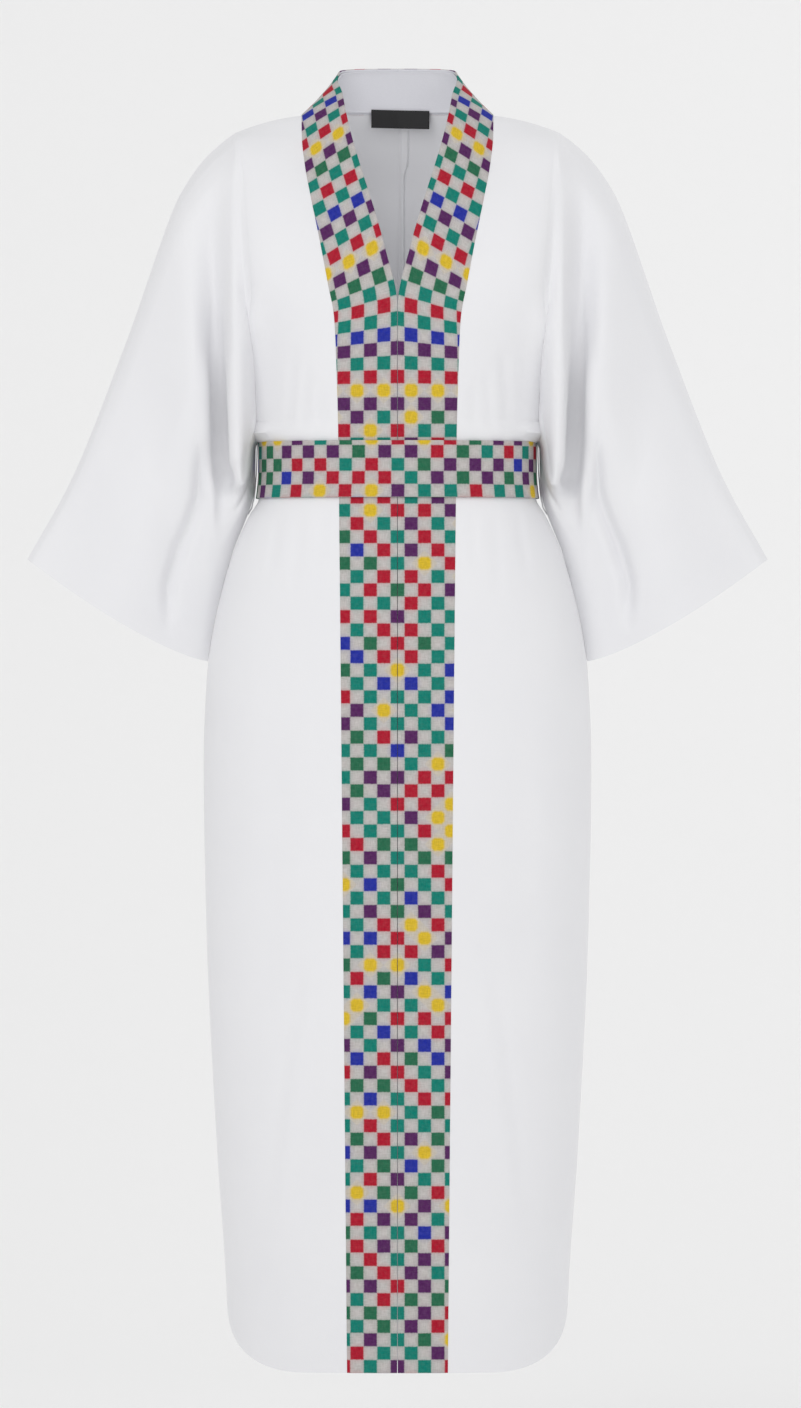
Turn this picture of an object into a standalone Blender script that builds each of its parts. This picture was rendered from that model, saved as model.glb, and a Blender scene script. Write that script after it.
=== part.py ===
"""An ankle-length open-front robe, cut like a boubou, in the hollow form that it has when worn.

The fronts and backs are cut in one with wide batwing sleeves. A check band edges the front and the
neck, and a check belt runs through a loop at each side seam. The front faces -Y, right and left are
the wearer's, and the origin lies between the shoulders, where the wearer holds the robe up.

A point of the cloth is given as out, fore and level: its distance from the middle plane, its
distance in front of the shoulder line, and its height above the hem. Sizes are in metres.
"""

import math
from collections import namedtuple

import bpy
import numpy as np

# Walls and the gaps between pieces
SHOULDER_LEVEL = 1.320
CREPE = 0.0016
BAND = 0.0022
FACING = 0.0010
TAPE = 0.0006
BELT = 0.0025
LOOP = 0.0014
GAP = 0.0003
SEAM_TRIM = 0.0005
UNDER_TRIM = 0.0010
FRONT_EDGE = 0.0004

# Levels and widths that several pieces share
UNDERARM_LEVEL = 1.003
HEM_BLEND_LEVEL = 0.300
HEM_RISE = 0.075
HEM_RUN = 0.140
HEM_CURVE = 2.3
BAND_CROWN = 0.002
CROWN_LEAN = 0.2
SHOULDER_RISE = 0.0025
BACK_TOP_FADE = 3
ROUNDNESS = 2.3

# Belt, its lap at centre back, its loops, and the label
BELT_BOTTOM = 0.9225
BELT_TOP = 0.9825
BELT_EASE = 0.0003
BELT_LAP_ANGLE = math.radians(16)
BELT_CLIMB_START = 2.2
BELT_CLIMB_END = 1.1
LOOP_WIDTH = 0.005
FACING_INSET = 0.05
LABEL_WIDTH = 0.062
LABEL_CENTRE = 0.003
LABEL_BOTTOM = 1.3195
LABEL_TOP = 1.3390
LABEL_TILT = 0.024
LABEL_EASE = 0.0006

# Mesh fineness
HEM_ROWS = (0.0, 0.12, 0.32, 0.62, 1.0)
SKIRT_LEVELS = (0.43, 0.60, 0.72, 0.805, 0.860, 0.905, 0.9225, 0.955, 0.981, 0.991, UNDERARM_LEVEL)
FRONT_COLUMNS = 8
NECK_COLUMNS = 6
BAND_COLUMNS = 2
ARM_ROWS = 13
ARM_EVENNESS = 0.5
LABEL_COLUMNS = 6
BELT_STEPS = 60
FINE_STEPS = 120
SHARP_ANGLE = math.radians(50)

BodyRow = namedtuple("BodyRow", "level half_width front back")
BackRow = namedtuple("BackRow", "level aft")
BandRow = namedtuple("BandRow", "level width")
NeckRow = namedtuple("NeckRow", "seam_out seam_level seam_fore free_out free_level free_fore")
SleeveEdge = namedtuple("SleeveEdge", "overarm_out overarm_level under_out under_level under_fore")
SleeveForm = namedtuple("SleeveForm", "knee_out knee_level pull upper middle lower edge")
LoopRow = namedtuple("LoopRow", "level stand")

# Body of the robe below the underarm: half width at the side seam, depth in front and behind
BODY = (
    BodyRow(0.000, 0.1785, 0.1120, 0.1130),
    BodyRow(0.080, 0.1810, 0.1135, 0.1150),
    BodyRow(0.230, 0.1910, 0.1180, 0.1190),
    BodyRow(0.470, 0.2025, 0.1225, 0.1240),
    BodyRow(0.640, 0.2055, 0.1240, 0.1280),
    BodyRow(0.745, 0.2010, 0.1220, 0.1270),
    BodyRow(0.800, 0.1915, 0.1190, 0.1230),
    BodyRow(0.860, 0.1760, 0.1130, 0.1160),
    BodyRow(0.905, 0.1565, 0.1070, 0.1080),
    BodyRow(0.9225, 0.1465, 0.1045, 0.1040),
    BodyRow(0.955, 0.1440, 0.1025, 0.1010),
    BodyRow(0.981, 0.1432, 0.1028, 0.1010),
    BodyRow(0.991, 0.1466, 0.1038, 0.1018),
    BodyRow(UNDERARM_LEVEL, 0.1465, 0.1045, 0.1025),
)

# Band up the front edges, a little narrower towards the hem
BAND_WIDTHS = (
    BandRow(0.000, 0.0530),
    BandRow(0.450, 0.0570),
    BandRow(0.9225, 0.0615),
    BandRow(UNDERARM_LEVEL, 0.0625),
)

# Centre-back line above the underarm
CENTRE_BACK = (
    BackRow(UNDERARM_LEVEL, 0.1025),
    BackRow(1.080, 0.1080),
    BackRow(1.180, 0.1140),
    BackRow(1.250, 0.1100),
    BackRow(1.300, 0.0930),
    BackRow(1.334, 0.0740),
)

# Band above the underarm, its seam edge and its free edge, from the chest round to centre back
NECK = {
    "chest": NeckRow(0.0640, 1.0550, 0.1035, FRONT_EDGE, 1.0570, 0.1095),
    "v_point": NeckRow(0.0665, 1.1100, 0.1060, FRONT_EDGE, 1.1240, 0.1110),
    "low_v": NeckRow(0.0735, 1.1490, 0.1030, 0.0125, 1.1830, 0.1040),
    "mid_v": NeckRow(0.0820, 1.1940, 0.0930, 0.0250, 1.2280, 0.0920),
    "high_v": NeckRow(0.0910, 1.2380, 0.0770, 0.0375, 1.2680, 0.0740),
    "collar": NeckRow(0.0975, 1.2730, 0.0560, 0.0485, 1.3060, 0.0530),
    "side_neck": NeckRow(0.1010, 1.3040, 0.0330, 0.0550, 1.3340, 0.0300),
    "neck_point": NeckRow(0.1015, 1.3290, 0.0020, 0.0590, 1.3550, 0.0000),
    "behind_shoulder": NeckRow(0.0970, 1.3330, -0.0280, 0.0640, 1.3695, -0.0220),
    "back_corner": NeckRow(0.0780, 1.3340, -0.0540, 0.0605, 1.3795, -0.0450),
    "back_quarter": NeckRow(0.0400, 1.3340, -0.0700, 0.0380, 1.3825, -0.0600),
    "centre_back": NeckRow(0.0000, 1.3340, -0.0740, 0.0000, 1.3830, -0.0640),
}
NECK_POINT_KNOT = list(NECK).index("neck_point") + 1

# Sleeve, as lines round the arm from the armhole out to the cuff, with steps between them
SLEEVE_EDGES = {
    "armhole": SleeveEdge(0.1680, 1.3125, 0.1465, UNDERARM_LEVEL, 0.0000),
    "armpit": SleeveEdge(0.1715, 1.3110, 0.1500, 0.9970, -0.0020),
    "ridge_1": SleeveEdge(0.1760, 1.3080, 0.1516, 0.9820, 0.0000),
    "recess_b": SleeveEdge(0.2000, 1.2880, 0.1525, 0.9350, 0.0060),
    "ridge_2": SleeveEdge(0.2280, 1.2500, 0.1768, 0.8640, 0.0060),
    "elbow": SleeveEdge(0.2900, 1.0830, 0.1914, 0.8100, 0.0060),
    "forearm": SleeveEdge(0.3450, 0.9450, 0.1980, 0.7780, 0.0060),
    "cuff": SleeveEdge(0.3930, 0.8580, 0.2026, 0.7500, 0.0060),
}
SLEEVE_STEPS = (1, 1, 2, 2, 3, 2, 2)
SLEEVE_FRONT = {
    "armhole": SleeveForm(0.1460, 1.0600, 1.0, 0.0520, 0.0840, 0.0300, 0.0120),
    "armpit": SleeveForm(0.1540, 1.0000, 1.2, 0.0530, 0.0780, 0.0360, 0.0130),
    "ridge_1": SleeveForm(0.1680, 0.9000, 3.5, 0.0560, 0.0860, 0.0640, 0.0260),
    "recess_b": SleeveForm(0.1890, 0.8800, 4.0, 0.0460, 0.0480, 0.0210, 0.0190),
    "ridge_2": SleeveForm(0.2020, 0.8500, 3.5, 0.0480, 0.0700, 0.0260, 0.0180),
    "elbow": SleeveForm(0.2450, 0.8500, 1.5, 0.0300, 0.0430, 0.0210, 0.0140),
    "forearm": SleeveForm(0.2550, 0.8150, 1.0, 0.0200, 0.0410, 0.0180, 0.0120),
    "cuff": SleeveForm(0.2650, 0.7600, 0.8, 0.0140, 0.0360, 0.0150, 0.0100),
}
SLEEVE_BACK = {
    "armhole": SleeveForm(0.1460, 1.0600, 1.0, 0.0500, 0.0850, 0.0340, 0.0120),
    "armpit": SleeveForm(0.1510, 1.0500, 1.0, 0.0510, 0.0850, 0.0380, 0.0160),
    "ridge_1": SleeveForm(0.1590, 1.0200, 1.6, 0.0540, 0.0880, 0.0520, 0.0280),
    "recess_b": SleeveForm(0.1740, 0.9700, 2.0, 0.0470, 0.0600, 0.0420, 0.0340),
    "ridge_2": SleeveForm(0.1980, 0.8950, 2.5, 0.0490, 0.0740, 0.0660, 0.0460),
    "elbow": SleeveForm(0.2450, 0.8600, 1.5, 0.0320, 0.0600, 0.0680, 0.0480),
    "forearm": SleeveForm(0.2550, 0.8200, 1.0, 0.0240, 0.0530, 0.0620, 0.0460),
    "cuff": SleeveForm(0.2650, 0.7650, 0.8, 0.0160, 0.0460, 0.0570, 0.0440),
}
DEPTH_STOPS = (0.0, 0.03, 0.12, 0.50, 0.86, 0.955, 1.0)
FIRST_STOP_SHARE = 0.55

# Belt loop and how far it stands off the robe's side
LOOP_PATH = (
    LoopRow(0.9060, 0.0028),
    LoopRow(0.9120, 0.0033),
    LoopRow(0.9190, 0.0060),
    LoopRow(0.9370, 0.0062),
    LoopRow(0.9620, 0.0055),
    LoopRow(0.9835, 0.0047),
    LoopRow(0.9858, 0.0022),
    LoopRow(0.9875, 0.0022),
)

WHITE_CREPE = (0.80, 0.80, 0.82)
CHECK_GROUND = (0.62, 0.60, 0.55)
BELT_GROUND = (0.60, 0.58, 0.53)
PLAIN_GREY = (0.74, 0.74, 0.77)
BLACK_TAPE = (0.02, 0.02, 0.02)


def through_rows(knots, rows, at):
    """The smooth curve through a table's rows, which turns only where the table turns."""
    knots = np.asarray(knots, float)
    rows = np.asarray(rows, float)
    at = np.atleast_1d(np.asarray(at, float))
    step = np.diff(knots)[:, None]
    slope = np.diff(rows, axis=0) / step
    tangent = np.zeros_like(rows)
    tangent[0], tangent[-1] = slope[0], slope[-1]
    before, after = slope[:-1], slope[1:]
    same_way = before * after > 0
    first = 2 * step[1:] + step[:-1]
    second = step[1:] + 2 * step[:-1]
    safe_before = np.where(same_way, before, 1.0)
    safe_after = np.where(same_way, after, 1.0)
    mean = (first + second) / (first / safe_before + second / safe_after)
    tangent[1:-1] = np.where(same_way, mean, 0.0)
    index = np.clip(np.searchsorted(knots, at, side="right") - 1, 0, len(knots) - 2)
    width = step[index]
    s = ((at - knots[index]) / step[index, 0])[:, None]
    return (
        (1 + 2 * s) * (1 - s) ** 2 * rows[index]
        + s * (1 - s) ** 2 * width * tangent[index]
        + s**2 * (3 - 2 * s) * rows[index + 1]
        + s**2 * (s - 1) * width * tangent[index + 1]
    )


def run_lengths(points):
    """Distance along a line of points, from its first one."""
    steps = np.linalg.norm(np.diff(points, axis=0), axis=1)
    return np.concatenate([[0.0], np.cumsum(steps)])


def even_stops(points, count):
    """Where count equal steps along a line of points fall, as shares of its own numbering."""
    along = run_lengths(points)
    numbering = np.linspace(0, 1, len(points))
    return np.interp(np.linspace(0, along[-1], count + 1), along, numbering)


def read_at(points, shares):
    """A line of points read again at shares of its length."""
    along = run_lengths(points)
    stops = np.asarray(shares) * along[-1]
    return np.stack([np.interp(stops, along, points[:, axis]) for axis in range(3)], axis=1)


def arm_shares():
    """Where the rows round a sleeve lie, closer together towards both of its seams."""
    even = np.linspace(0, 1, ARM_ROWS + 1)
    waved = (1 - np.cos(math.pi * even)) / 2
    return ARM_EVENNESS * even + (1 - ARM_EVENNESS) * waved


def body_size(level):
    """Half width, front depth and back depth of the robe at one level."""
    table = np.array(BODY)
    return through_rows(table[:, 0], table[:, 1:], level)[0]


def band_width(level):
    """Width of the band up the front edge at one level."""
    table = np.array(BAND_WIDTHS)
    return through_rows(table[:, 0], table[:, 1:], level)[0, 0]


def round_depth(out, half_width, depth):
    """How far the rounded section stands out at a distance from the middle plane."""
    share = np.clip(out / half_width, 0, 1)
    return depth * (1 - share**ROUNDNESS) ** (1 / ROUNDNESS)


def section(level, columns, front):
    """One section, from the band or centre back to the side seam, in even turns."""
    half_width, front_depth, back_depth = body_size(level)
    depth = front_depth if front else -back_depth
    inner_out = band_width(level) if front else 0.0
    start = math.asin((inner_out / half_width) ** (ROUNDNESS / 2))
    turn = np.linspace(start, math.pi / 2, columns + 1)
    out = half_width * np.sin(turn) ** (2 / ROUNDNESS)
    fore = depth * np.clip(np.cos(turn), 0, 1) ** (2 / ROUNDNESS)
    fore[-1] = 0.0
    return np.stack([out, fore, np.full(columns + 1, level)], axis=1)


def hem_levels(row):
    """Level of the shirt-tail hem below each point of a section, rising to the side seam."""
    along = run_lengths(row)
    from_side = np.clip((along[-1] - along) / HEM_RUN, 0, 1)
    return HEM_RISE * (1 - from_side) ** HEM_CURVE


def hem_line(columns, front):
    """Levels of the hem along a front or back."""
    return hem_levels(section(HEM_RISE, columns, front))


def skirt(columns, front):
    """Rows of a front or back from the hem to the underarm."""
    hem = hem_line(columns, front)
    rows = []
    for share in HEM_ROWS:
        levels = hem + share * (HEM_BLEND_LEVEL - hem)
        sections = [section(level, columns, front)[place] for place, level in enumerate(levels)]
        rows.append(np.array(sections))
    for level in SKIRT_LEVELS:
        rows.append(section(level, columns, front))
    return np.array(rows)


def front_strip():
    """Rows of the band from the hem to the underarm, from the free edge to the seam."""
    rows = []
    levels = [share * HEM_BLEND_LEVEL for share in HEM_ROWS] + list(SKIRT_LEVELS)
    for level in levels:
        half_width, depth, _ = body_size(level)
        out = np.linspace(FRONT_EDGE, band_width(level), BAND_COLUMNS + 1)
        fore = round_depth(out, half_width, depth)
        rows.append(np.stack([out, fore, np.full(BAND_COLUMNS + 1, level)], axis=1))
    return np.array(rows)


def neck_edges():
    """Seam and free edge of the band above the underarm, as smooth lines and their row numbers."""
    strip_end = front_strip()[-1]
    seam_start, free_start = strip_end[-1], strip_end[0]
    first = [seam_start[0], seam_start[2], seam_start[1], free_start[0], free_start[2], free_start[1]]
    table = np.array([first, *NECK.values()])
    knots = np.arange(len(table), dtype=float)
    dense = np.linspace(0, knots[-1], FINE_STEPS * int(knots[-1]) + 1)
    lines = through_rows(knots, table, dense)
    seam = lines[:, [0, 2, 1]]
    free = lines[:, [3, 5, 4]]
    return dense, seam, free


def neck_band():
    """Band above the underarm, split at the neck point: rows up the front, then rows round the back."""
    dense, seam, free = neck_edges()
    turn = NECK_POINT_KNOT * FINE_STEPS
    parts = []
    for first, last, count in ((0, turn, ARM_ROWS), (turn, len(dense) - 1, NECK_COLUMNS)):
        stops = first + even_stops(seam[first : last + 1], count) * (last - first)
        places = np.arange(len(dense))
        rows = []
        for stop in stops:
            seam_point = np.array([np.interp(stop, places, seam[:, axis]) for axis in range(3)])
            free_point = np.array([np.interp(stop, places, free[:, axis]) for axis in range(3)])
            rows.append(crowned(free_point, seam_point))
        parts.append(np.array(rows))
    return parts


def crowned(free_point, seam_point):
    """A line across the band, slightly crowned away from the neck."""
    middle = (free_point + seam_point) / 2
    away = np.array([middle[0] * CROWN_LEAN, middle[1], 0.0])
    away /= max(np.linalg.norm(away), 1e-9)
    share = np.linspace(0, 1, BAND_COLUMNS + 1)[:, None]
    return free_point + (seam_point - free_point) * share + away * BAND_CROWN * 4 * share * (1 - share)


def sleeve_line(edge, form, front):
    """One line round the sleeve, from the overarm fold down to the seam under the arm."""
    facing = 1.0 if front else -1.0
    v = np.linspace(0, 1, FINE_STEPS + 1)
    weights = np.stack([(1 - v) ** 2, 2 * form.pull * v * (1 - v), v**2], axis=1)
    weights /= weights.sum(axis=1)[:, None]
    start = (edge.overarm_out, edge.overarm_level)
    knee = (form.knee_out, form.knee_level)
    end = (edge.under_out, edge.under_level)
    flat = weights @ np.array([start, knee, end])
    along = run_lengths(flat)
    depths = [0.0, FIRST_STOP_SHARE * form.upper, form.upper, form.middle, form.lower, form.edge]
    depths = [facing * depth for depth in depths] + [edge.under_fore]
    fore = through_rows(DEPTH_STOPS, np.array(depths)[:, None], along / along[-1])[:, 0]
    return read_at(np.stack([flat[:, 0], fore, flat[:, 1]], axis=1), arm_shares())


def sleeve_half(forms, front):
    """Front or back half of a sleeve: rows from the under seam up, columns from the armhole out."""
    lines = [sleeve_line(SLEEVE_EDGES[name], form, front)[::-1] for name, form in forms.items()]
    knots = np.concatenate([[0], np.cumsum(SLEEVE_STEPS)])
    stops = np.arange(knots[-1] + 1)
    grid = []
    for row in range(ARM_ROWS + 1):
        places = [line[row] for line in lines]
        grid.append(through_rows(knots, places, stops))
    return np.array(grid)


def filled(bottom, top, inner, outer, top_fade=1):
    """The smooth surface between four edges that meet at its corners, with the top's bends fading."""
    rows, columns = len(inner), len(bottom)
    w = np.linspace(0, 1, rows)[:, None, None]
    t = np.linspace(0, 1, columns)[None, :, None]
    across = (1 - t) * inner[:, None, :] + t * outer[:, None, :]
    bottom_bend = bottom - ((1 - t[0]) * bottom[0] + t[0] * bottom[-1])
    top_bend = top - ((1 - t[0]) * top[0] + t[0] * top[-1])
    return across + (1 - w) * bottom_bend[None] + w**top_fade * top_bend[None]


def shoulder_seam(neck_point, shoulder_point):
    """Shoulder seam from the neck out, slightly raised over the shoulder."""
    share = np.linspace(0, 1, FRONT_COLUMNS + 1)[:, None]
    rise = np.array([0.0, 0.0, SHOULDER_RISE]) * 4 * share * (1 - share)
    return neck_point + (shoulder_point - neck_point) * share + rise


def cloth_surface():
    """Every stretch of cloth on one side, as grids of out, fore and level."""
    band_front, band_back = neck_band()
    strip = front_strip()
    sleeve_front = sleeve_half(SLEEVE_FRONT, True)
    sleeve_back = sleeve_half(SLEEVE_BACK, False)
    front_skirt = skirt(FRONT_COLUMNS, True)
    back_skirt = skirt(NECK_COLUMNS + FRONT_COLUMNS, False)
    seam = shoulder_seam(band_front[-1, -1], sleeve_front[-1, 0])
    chest = filled(front_skirt[-1], seam, band_front[:, -1], sleeve_front[:, 0])
    table = np.array(CENTRE_BACK)
    levels = np.linspace(table[0, 0], table[-1, 0], FINE_STEPS + 1)
    aft = through_rows(table[:, 0], table[:, 1:], levels)[:, 0]
    centre = np.stack([np.zeros_like(levels), -aft, levels], axis=1)
    centre = read_at(centre, np.linspace(0, 1, ARM_ROWS + 1))
    back_top = np.concatenate([band_back[::-1, -1], seam[1:]])
    shoulders = filled(back_skirt[-1], back_top, centre, sleeve_back[:, 0], BACK_TOP_FADE)
    return {
        "front": np.concatenate([front_skirt, chest[1:]]),
        "sleeve_front": sleeve_front,
        "back": np.concatenate([back_skirt, shoulders[1:]]),
        "sleeve_back": sleeve_back,
        "band": np.concatenate([strip, band_front[1:], band_back[1:]]),
    }


def placed(grid, side):
    """A grid of out, fore and level in the robe's own frame, on one side of it."""
    return np.stack([side * grid[..., 0], -grid[..., 1], grid[..., 2] - SHOULDER_LEVEL], axis=-1)


def point_key(point):
    """What tells one point of the cloth from another."""
    return tuple(int(round(value * 1e6)) for value in point)


class Cloth:
    """A sheet with no thickness, made of grids that share their edge points."""

    def __init__(self):
        self.places = {}
        self.points = []
        self.faces = []

    def number(self, point):
        key = point_key(point)
        if key not in self.places:
            self.places[key] = len(self.points)
            self.points.append(np.array(point, float))
        return self.places[key]

    def add(self, grid, flip):
        rows, columns = grid.shape[:2]
        numbers = [[self.number(grid[i, j]) for j in range(columns)] for i in range(rows)]
        for i in range(rows - 1):
            for j in range(columns - 1):
                near, beside = numbers[i][j], numbers[i][j + 1]
                far, above = numbers[i + 1][j + 1], numbers[i + 1][j]
                for face in ([near, beside, far], [near, far, above]):
                    if len(set(face)) == 3:
                        self.faces.append(face[::-1] if flip else face)

    def normals(self):
        """Outward direction at each point, the mean of the faces round it."""
        total = np.zeros((len(self.points), 3))
        for face in self.faces:
            corners = [self.points[n] for n in face]
            middle = sum(corners) / len(corners)
            for place, corner in enumerate(corners):
                area = np.cross(corners[place - 1] - middle, corner - middle)
                total[face[place - 1]] += area
                total[face[place]] += area
        return total / np.linalg.norm(total, axis=1)[:, None]

    def inward(self, directions):
        """Direction along the cloth from each point into the sheet."""
        total = np.zeros((len(self.points), 3))
        for face in self.faces:
            middle = sum(self.points[n] for n in face) / len(face)
            for n in face:
                total[n] += middle - self.points[n]
        total -= (total * directions).sum(axis=1)[:, None] * directions
        return total / np.maximum(np.linalg.norm(total, axis=1), 1e-12)[:, None]

    def open_edges(self):
        """Edges with a face on one side only, in that face's own direction."""
        edges = {}
        for face in self.faces:
            for place in range(len(face)):
                start, end = face[place - 1], face[place]
                edges[(start, end)] = True
        return [edge for edge in edges if edge[::-1] not in edges]


def wall(cloth, directions, thickness):
    """Points and faces of a closed wall laid half on each side of a sheet."""
    points = np.array(cloth.points)
    count = len(points)
    both = np.concatenate([points + directions * thickness / 2, points - directions * thickness / 2])
    faces = list(cloth.faces)
    faces += [[n + count for n in reversed(face)] for face in cloth.faces]
    for start, end in cloth.open_edges():
        if place_order(points[start]) < place_order(points[end]):
            faces += [[end, start, end + count], [start, start + count, end + count]]
        else:
            faces += [[end, start, start + count], [end, start + count, end + count]]
    return both, faces


def place_order(point):
    """Which end of an edge comes first, so that two rims that face each other are split alike."""
    return round(point[2], 4), round(abs(point[0]), 4), round(point[1], 4)


def material(name, colour, roughness):
    """A plain Principled material."""
    made = bpy.data.materials.new(name)
    made.use_nodes = True
    shader = made.node_tree.nodes["Principled BSDF"]
    shader.inputs["Base Color"].default_value = (*colour, 1.0)
    shader.inputs["Roughness"].default_value = roughness
    shader.inputs["Metallic"].default_value = 0.0
    return made


def add_object(name, points, faces, finish):
    """One named piece in the scene."""
    mesh = bpy.data.meshes.new(name)
    mesh.from_pydata([tuple(point) for point in points], [], faces)
    mesh.validate()
    mesh.shade_smooth()
    mesh.set_sharp_from_angle(angle=SHARP_ANGLE)
    mesh.materials.append(finish)
    made = bpy.data.objects.new(name, mesh)
    bpy.context.scene.collection.objects.link(made)
    return made


def grid_wall(grid, thickness, flip=False):
    """Points and faces of a wall on one grid."""
    cloth = Cloth()
    cloth.add(grid, flip)
    return wall(cloth, cloth.normals(), thickness)


def whole_skin(surface):
    """Outward directions of the whole robe, so that neighbours turn their seams alike."""
    skin = Cloth()
    for side in (-1, 1):
        for name, grid in surface.items():
            skin.add(placed(grid, side), faces_inward(name, side))
    return dict(zip(skin.places, skin.normals()))


def faces_inward(name, side):
    """Whether a grid's own order of rows and columns would turn its faces inwards."""
    return (side > 0) == (name in ("back", "sleeve_back"))


def build_panel(name, surface, parts, seams, side, thickness, directions, finish):
    """A panel of one or two stretches of cloth, trimmed along its seams."""
    cloth = Cloth()
    for part in parts:
        cloth.add(placed(surface[part], side), faces_inward(part, side))
    outward = np.array([directions[point_key(point)] for point in cloth.points])
    inward = cloth.inward(outward)
    for seam, trim in seams:
        for point in placed(seam, side):
            n = cloth.places[point_key(point)]
            if np.linalg.norm(cloth.points[n] - point) < 1e-9:
                cloth.points[n] = cloth.points[n] + inward[n] * trim
    points, faces = wall(cloth, outward, thickness)
    return add_object(name, points, faces, finish)


def build_panels(surface, directions):
    """Fronts, backs and bands of both sides."""
    skirt_rows = len(HEM_ROWS) + len(SKIRT_LEVELS)
    front, back, band = surface["front"], surface["back"], surface["band"]
    sleeve_front, sleeve_back = surface["sleeve_front"], surface["sleeve_back"]
    front_seams = [front[:skirt_rows, -1], front[:, 0], front[-1], sleeve_front[-1]]
    back_seams = [back[:skirt_rows, -1], back[:, 0], back[-1], sleeve_back[-1]]
    front_seams = [(sleeve_front[0], UNDER_TRIM)] + [(seam, SEAM_TRIM) for seam in front_seams]
    back_seams = [(sleeve_back[0], UNDER_TRIM)] + [(seam, SEAM_TRIM) for seam in back_seams]
    band_seams = [(band[:, -1], SEAM_TRIM), (band[-1], SEAM_TRIM)]
    for side, word in ((-1, "right"), (1, "left")):
        crepe = material(f"front_crepe_{word}", WHITE_CREPE, 0.75)
        parts = ("front", "sleeve_front")
        build_panel(f"front_{word}", surface, parts, front_seams, side, CREPE, directions, crepe)
        crepe = material(f"back_crepe_{word}", WHITE_CREPE, 0.75)
        parts = ("back", "sleeve_back")
        build_panel(f"back_{word}", surface, parts, back_seams, side, CREPE, directions, crepe)
        check = material(f"band_check_{word}", CHECK_GROUND, 0.80)
        build_panel(f"band_{word}", surface, ("band",), band_seams, side, BAND, directions, check)


def build_facing(surface, directions):
    """Plain inside of the standing neck, from one neck point round to the other."""
    first = len(HEM_ROWS) + len(SKIRT_LEVELS) + ARM_ROWS - 1
    lining = Cloth()
    for side in (-1, 1):
        band = placed(surface["band"][first:], side)
        outward = np.array([[directions[point_key(point)] for point in row] for row in band])
        shift = BAND / 2 + 3 * GAP + FACING / 2
        inner = band - outward * shift
        across = inner[:, -1] - inner[:, 0]
        inner[:, 0] += across * FACING_INSET
        inner[:, -1] -= across * FACING_INSET
        lining.add(inner, faces_inward("band", side))
    points, faces = wall(lining, lining.normals(), FACING)
    add_object("neck_facing", points, faces, material("plain_facing", PLAIN_GREY, 0.80))


def build_label():
    """Bare woven label, hung from the neck seam at centre back."""
    _, seam, _ = neck_edges()
    round_back = seam[NECK_POINT_KNOT * FINE_STEPS :][::-1]
    stand = BAND / 2 + FACING + 7 * GAP + TAPE / 2 + LABEL_EASE
    half = LABEL_WIDTH / 2
    out = np.linspace(LABEL_CENTRE - half, LABEL_CENTRE + half, LABEL_COLUMNS + 1)
    aft = np.interp(np.abs(out), round_back[:, 0], -round_back[:, 1])
    rows = []
    for level in (LABEL_BOTTOM, LABEL_TOP):
        rows.append(np.stack([out, aft - stand, level - SHOULDER_LEVEL - LABEL_TILT * out], axis=1))
    points, faces = grid_wall(np.array(rows), TAPE)
    add_object("neck_label", points, faces, material("label_tape", BLACK_TAPE, 0.55))


def waist_point(level, turn):
    """A point of the robe's section at a turn from centre front, in the robe's own frame."""
    half_width, front_depth, back_depth = body_size(level)
    across, along = math.sin(turn), math.cos(turn)
    depth = front_depth if along > 0 else back_depth
    x = math.copysign(half_width * abs(across) ** (2 / ROUNDNESS), across)
    y = -math.copysign(depth * abs(along) ** (2 / ROUNDNESS), along)
    return np.array([x, y, level - SHOULDER_LEVEL])


def waist_outward(level, turn):
    """Level direction straight out of the robe's section at a turn."""
    step = waist_point(level, turn + 1e-3) - waist_point(level, turn - 1e-3)
    away = np.array([-step[1], step[0], 0.0])
    away *= np.sign(away @ waist_point(level, turn))
    return away / np.linalg.norm(away)


def build_belt():
    """Belt once round the waist, lapped over itself at centre back."""
    near = BAND / 2 + GAP + BELT / 2 + BELT_EASE
    lap = BELT + GAP
    turns = np.linspace(math.pi - BELT_LAP_ANGLE / 2, 3 * math.pi + BELT_LAP_ANGLE / 2, BELT_STEPS + 1)
    rows = []
    for level in (BELT_BOTTOM, (BELT_BOTTOM + BELT_TOP) / 2, BELT_TOP):
        row = []
        for turn in turns:
            climb = (turn - turns[-1]) / BELT_LAP_ANGLE + BELT_CLIMB_START
            climb /= BELT_CLIMB_END
            climb = min(max(climb, 0.0), 1.0)
            stand = near + lap * climb * climb * (3 - 2 * climb)
            row.append(waist_point(level, turn) + waist_outward(level, turn) * stand)
        rows.append(row)
    points, faces = grid_wall(np.array(rows), BELT)
    add_object("belt", points, faces, material("belt_check", BELT_GROUND, 0.80))


def build_loops():
    """Narrow loop over the belt at each side seam."""
    for side, word in ((-1, "right"), (1, "left")):
        rows = []
        for level, stand in LOOP_PATH:
            out = body_size(level)[0] + stand
            row = [(side * out, y, level - SHOULDER_LEVEL) for y in (-LOOP_WIDTH / 2, 0.0, LOOP_WIDTH / 2)]
            rows.append(row)
        points, faces = grid_wall(np.array(rows), LOOP, flip=side < 0)
        add_object(f"belt_loop_{word}", points, faces, material(f"loop_crepe_{word}", WHITE_CREPE, 0.75))


def main():
    for thing in list(bpy.data.objects):
        bpy.data.objects.remove(thing, do_unlink=True)
    surface = cloth_surface()
    directions = whole_skin(surface)
    build_panels(surface, directions)
    build_facing(surface, directions)
    build_label()
    build_belt()
    build_loops()


main()
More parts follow.
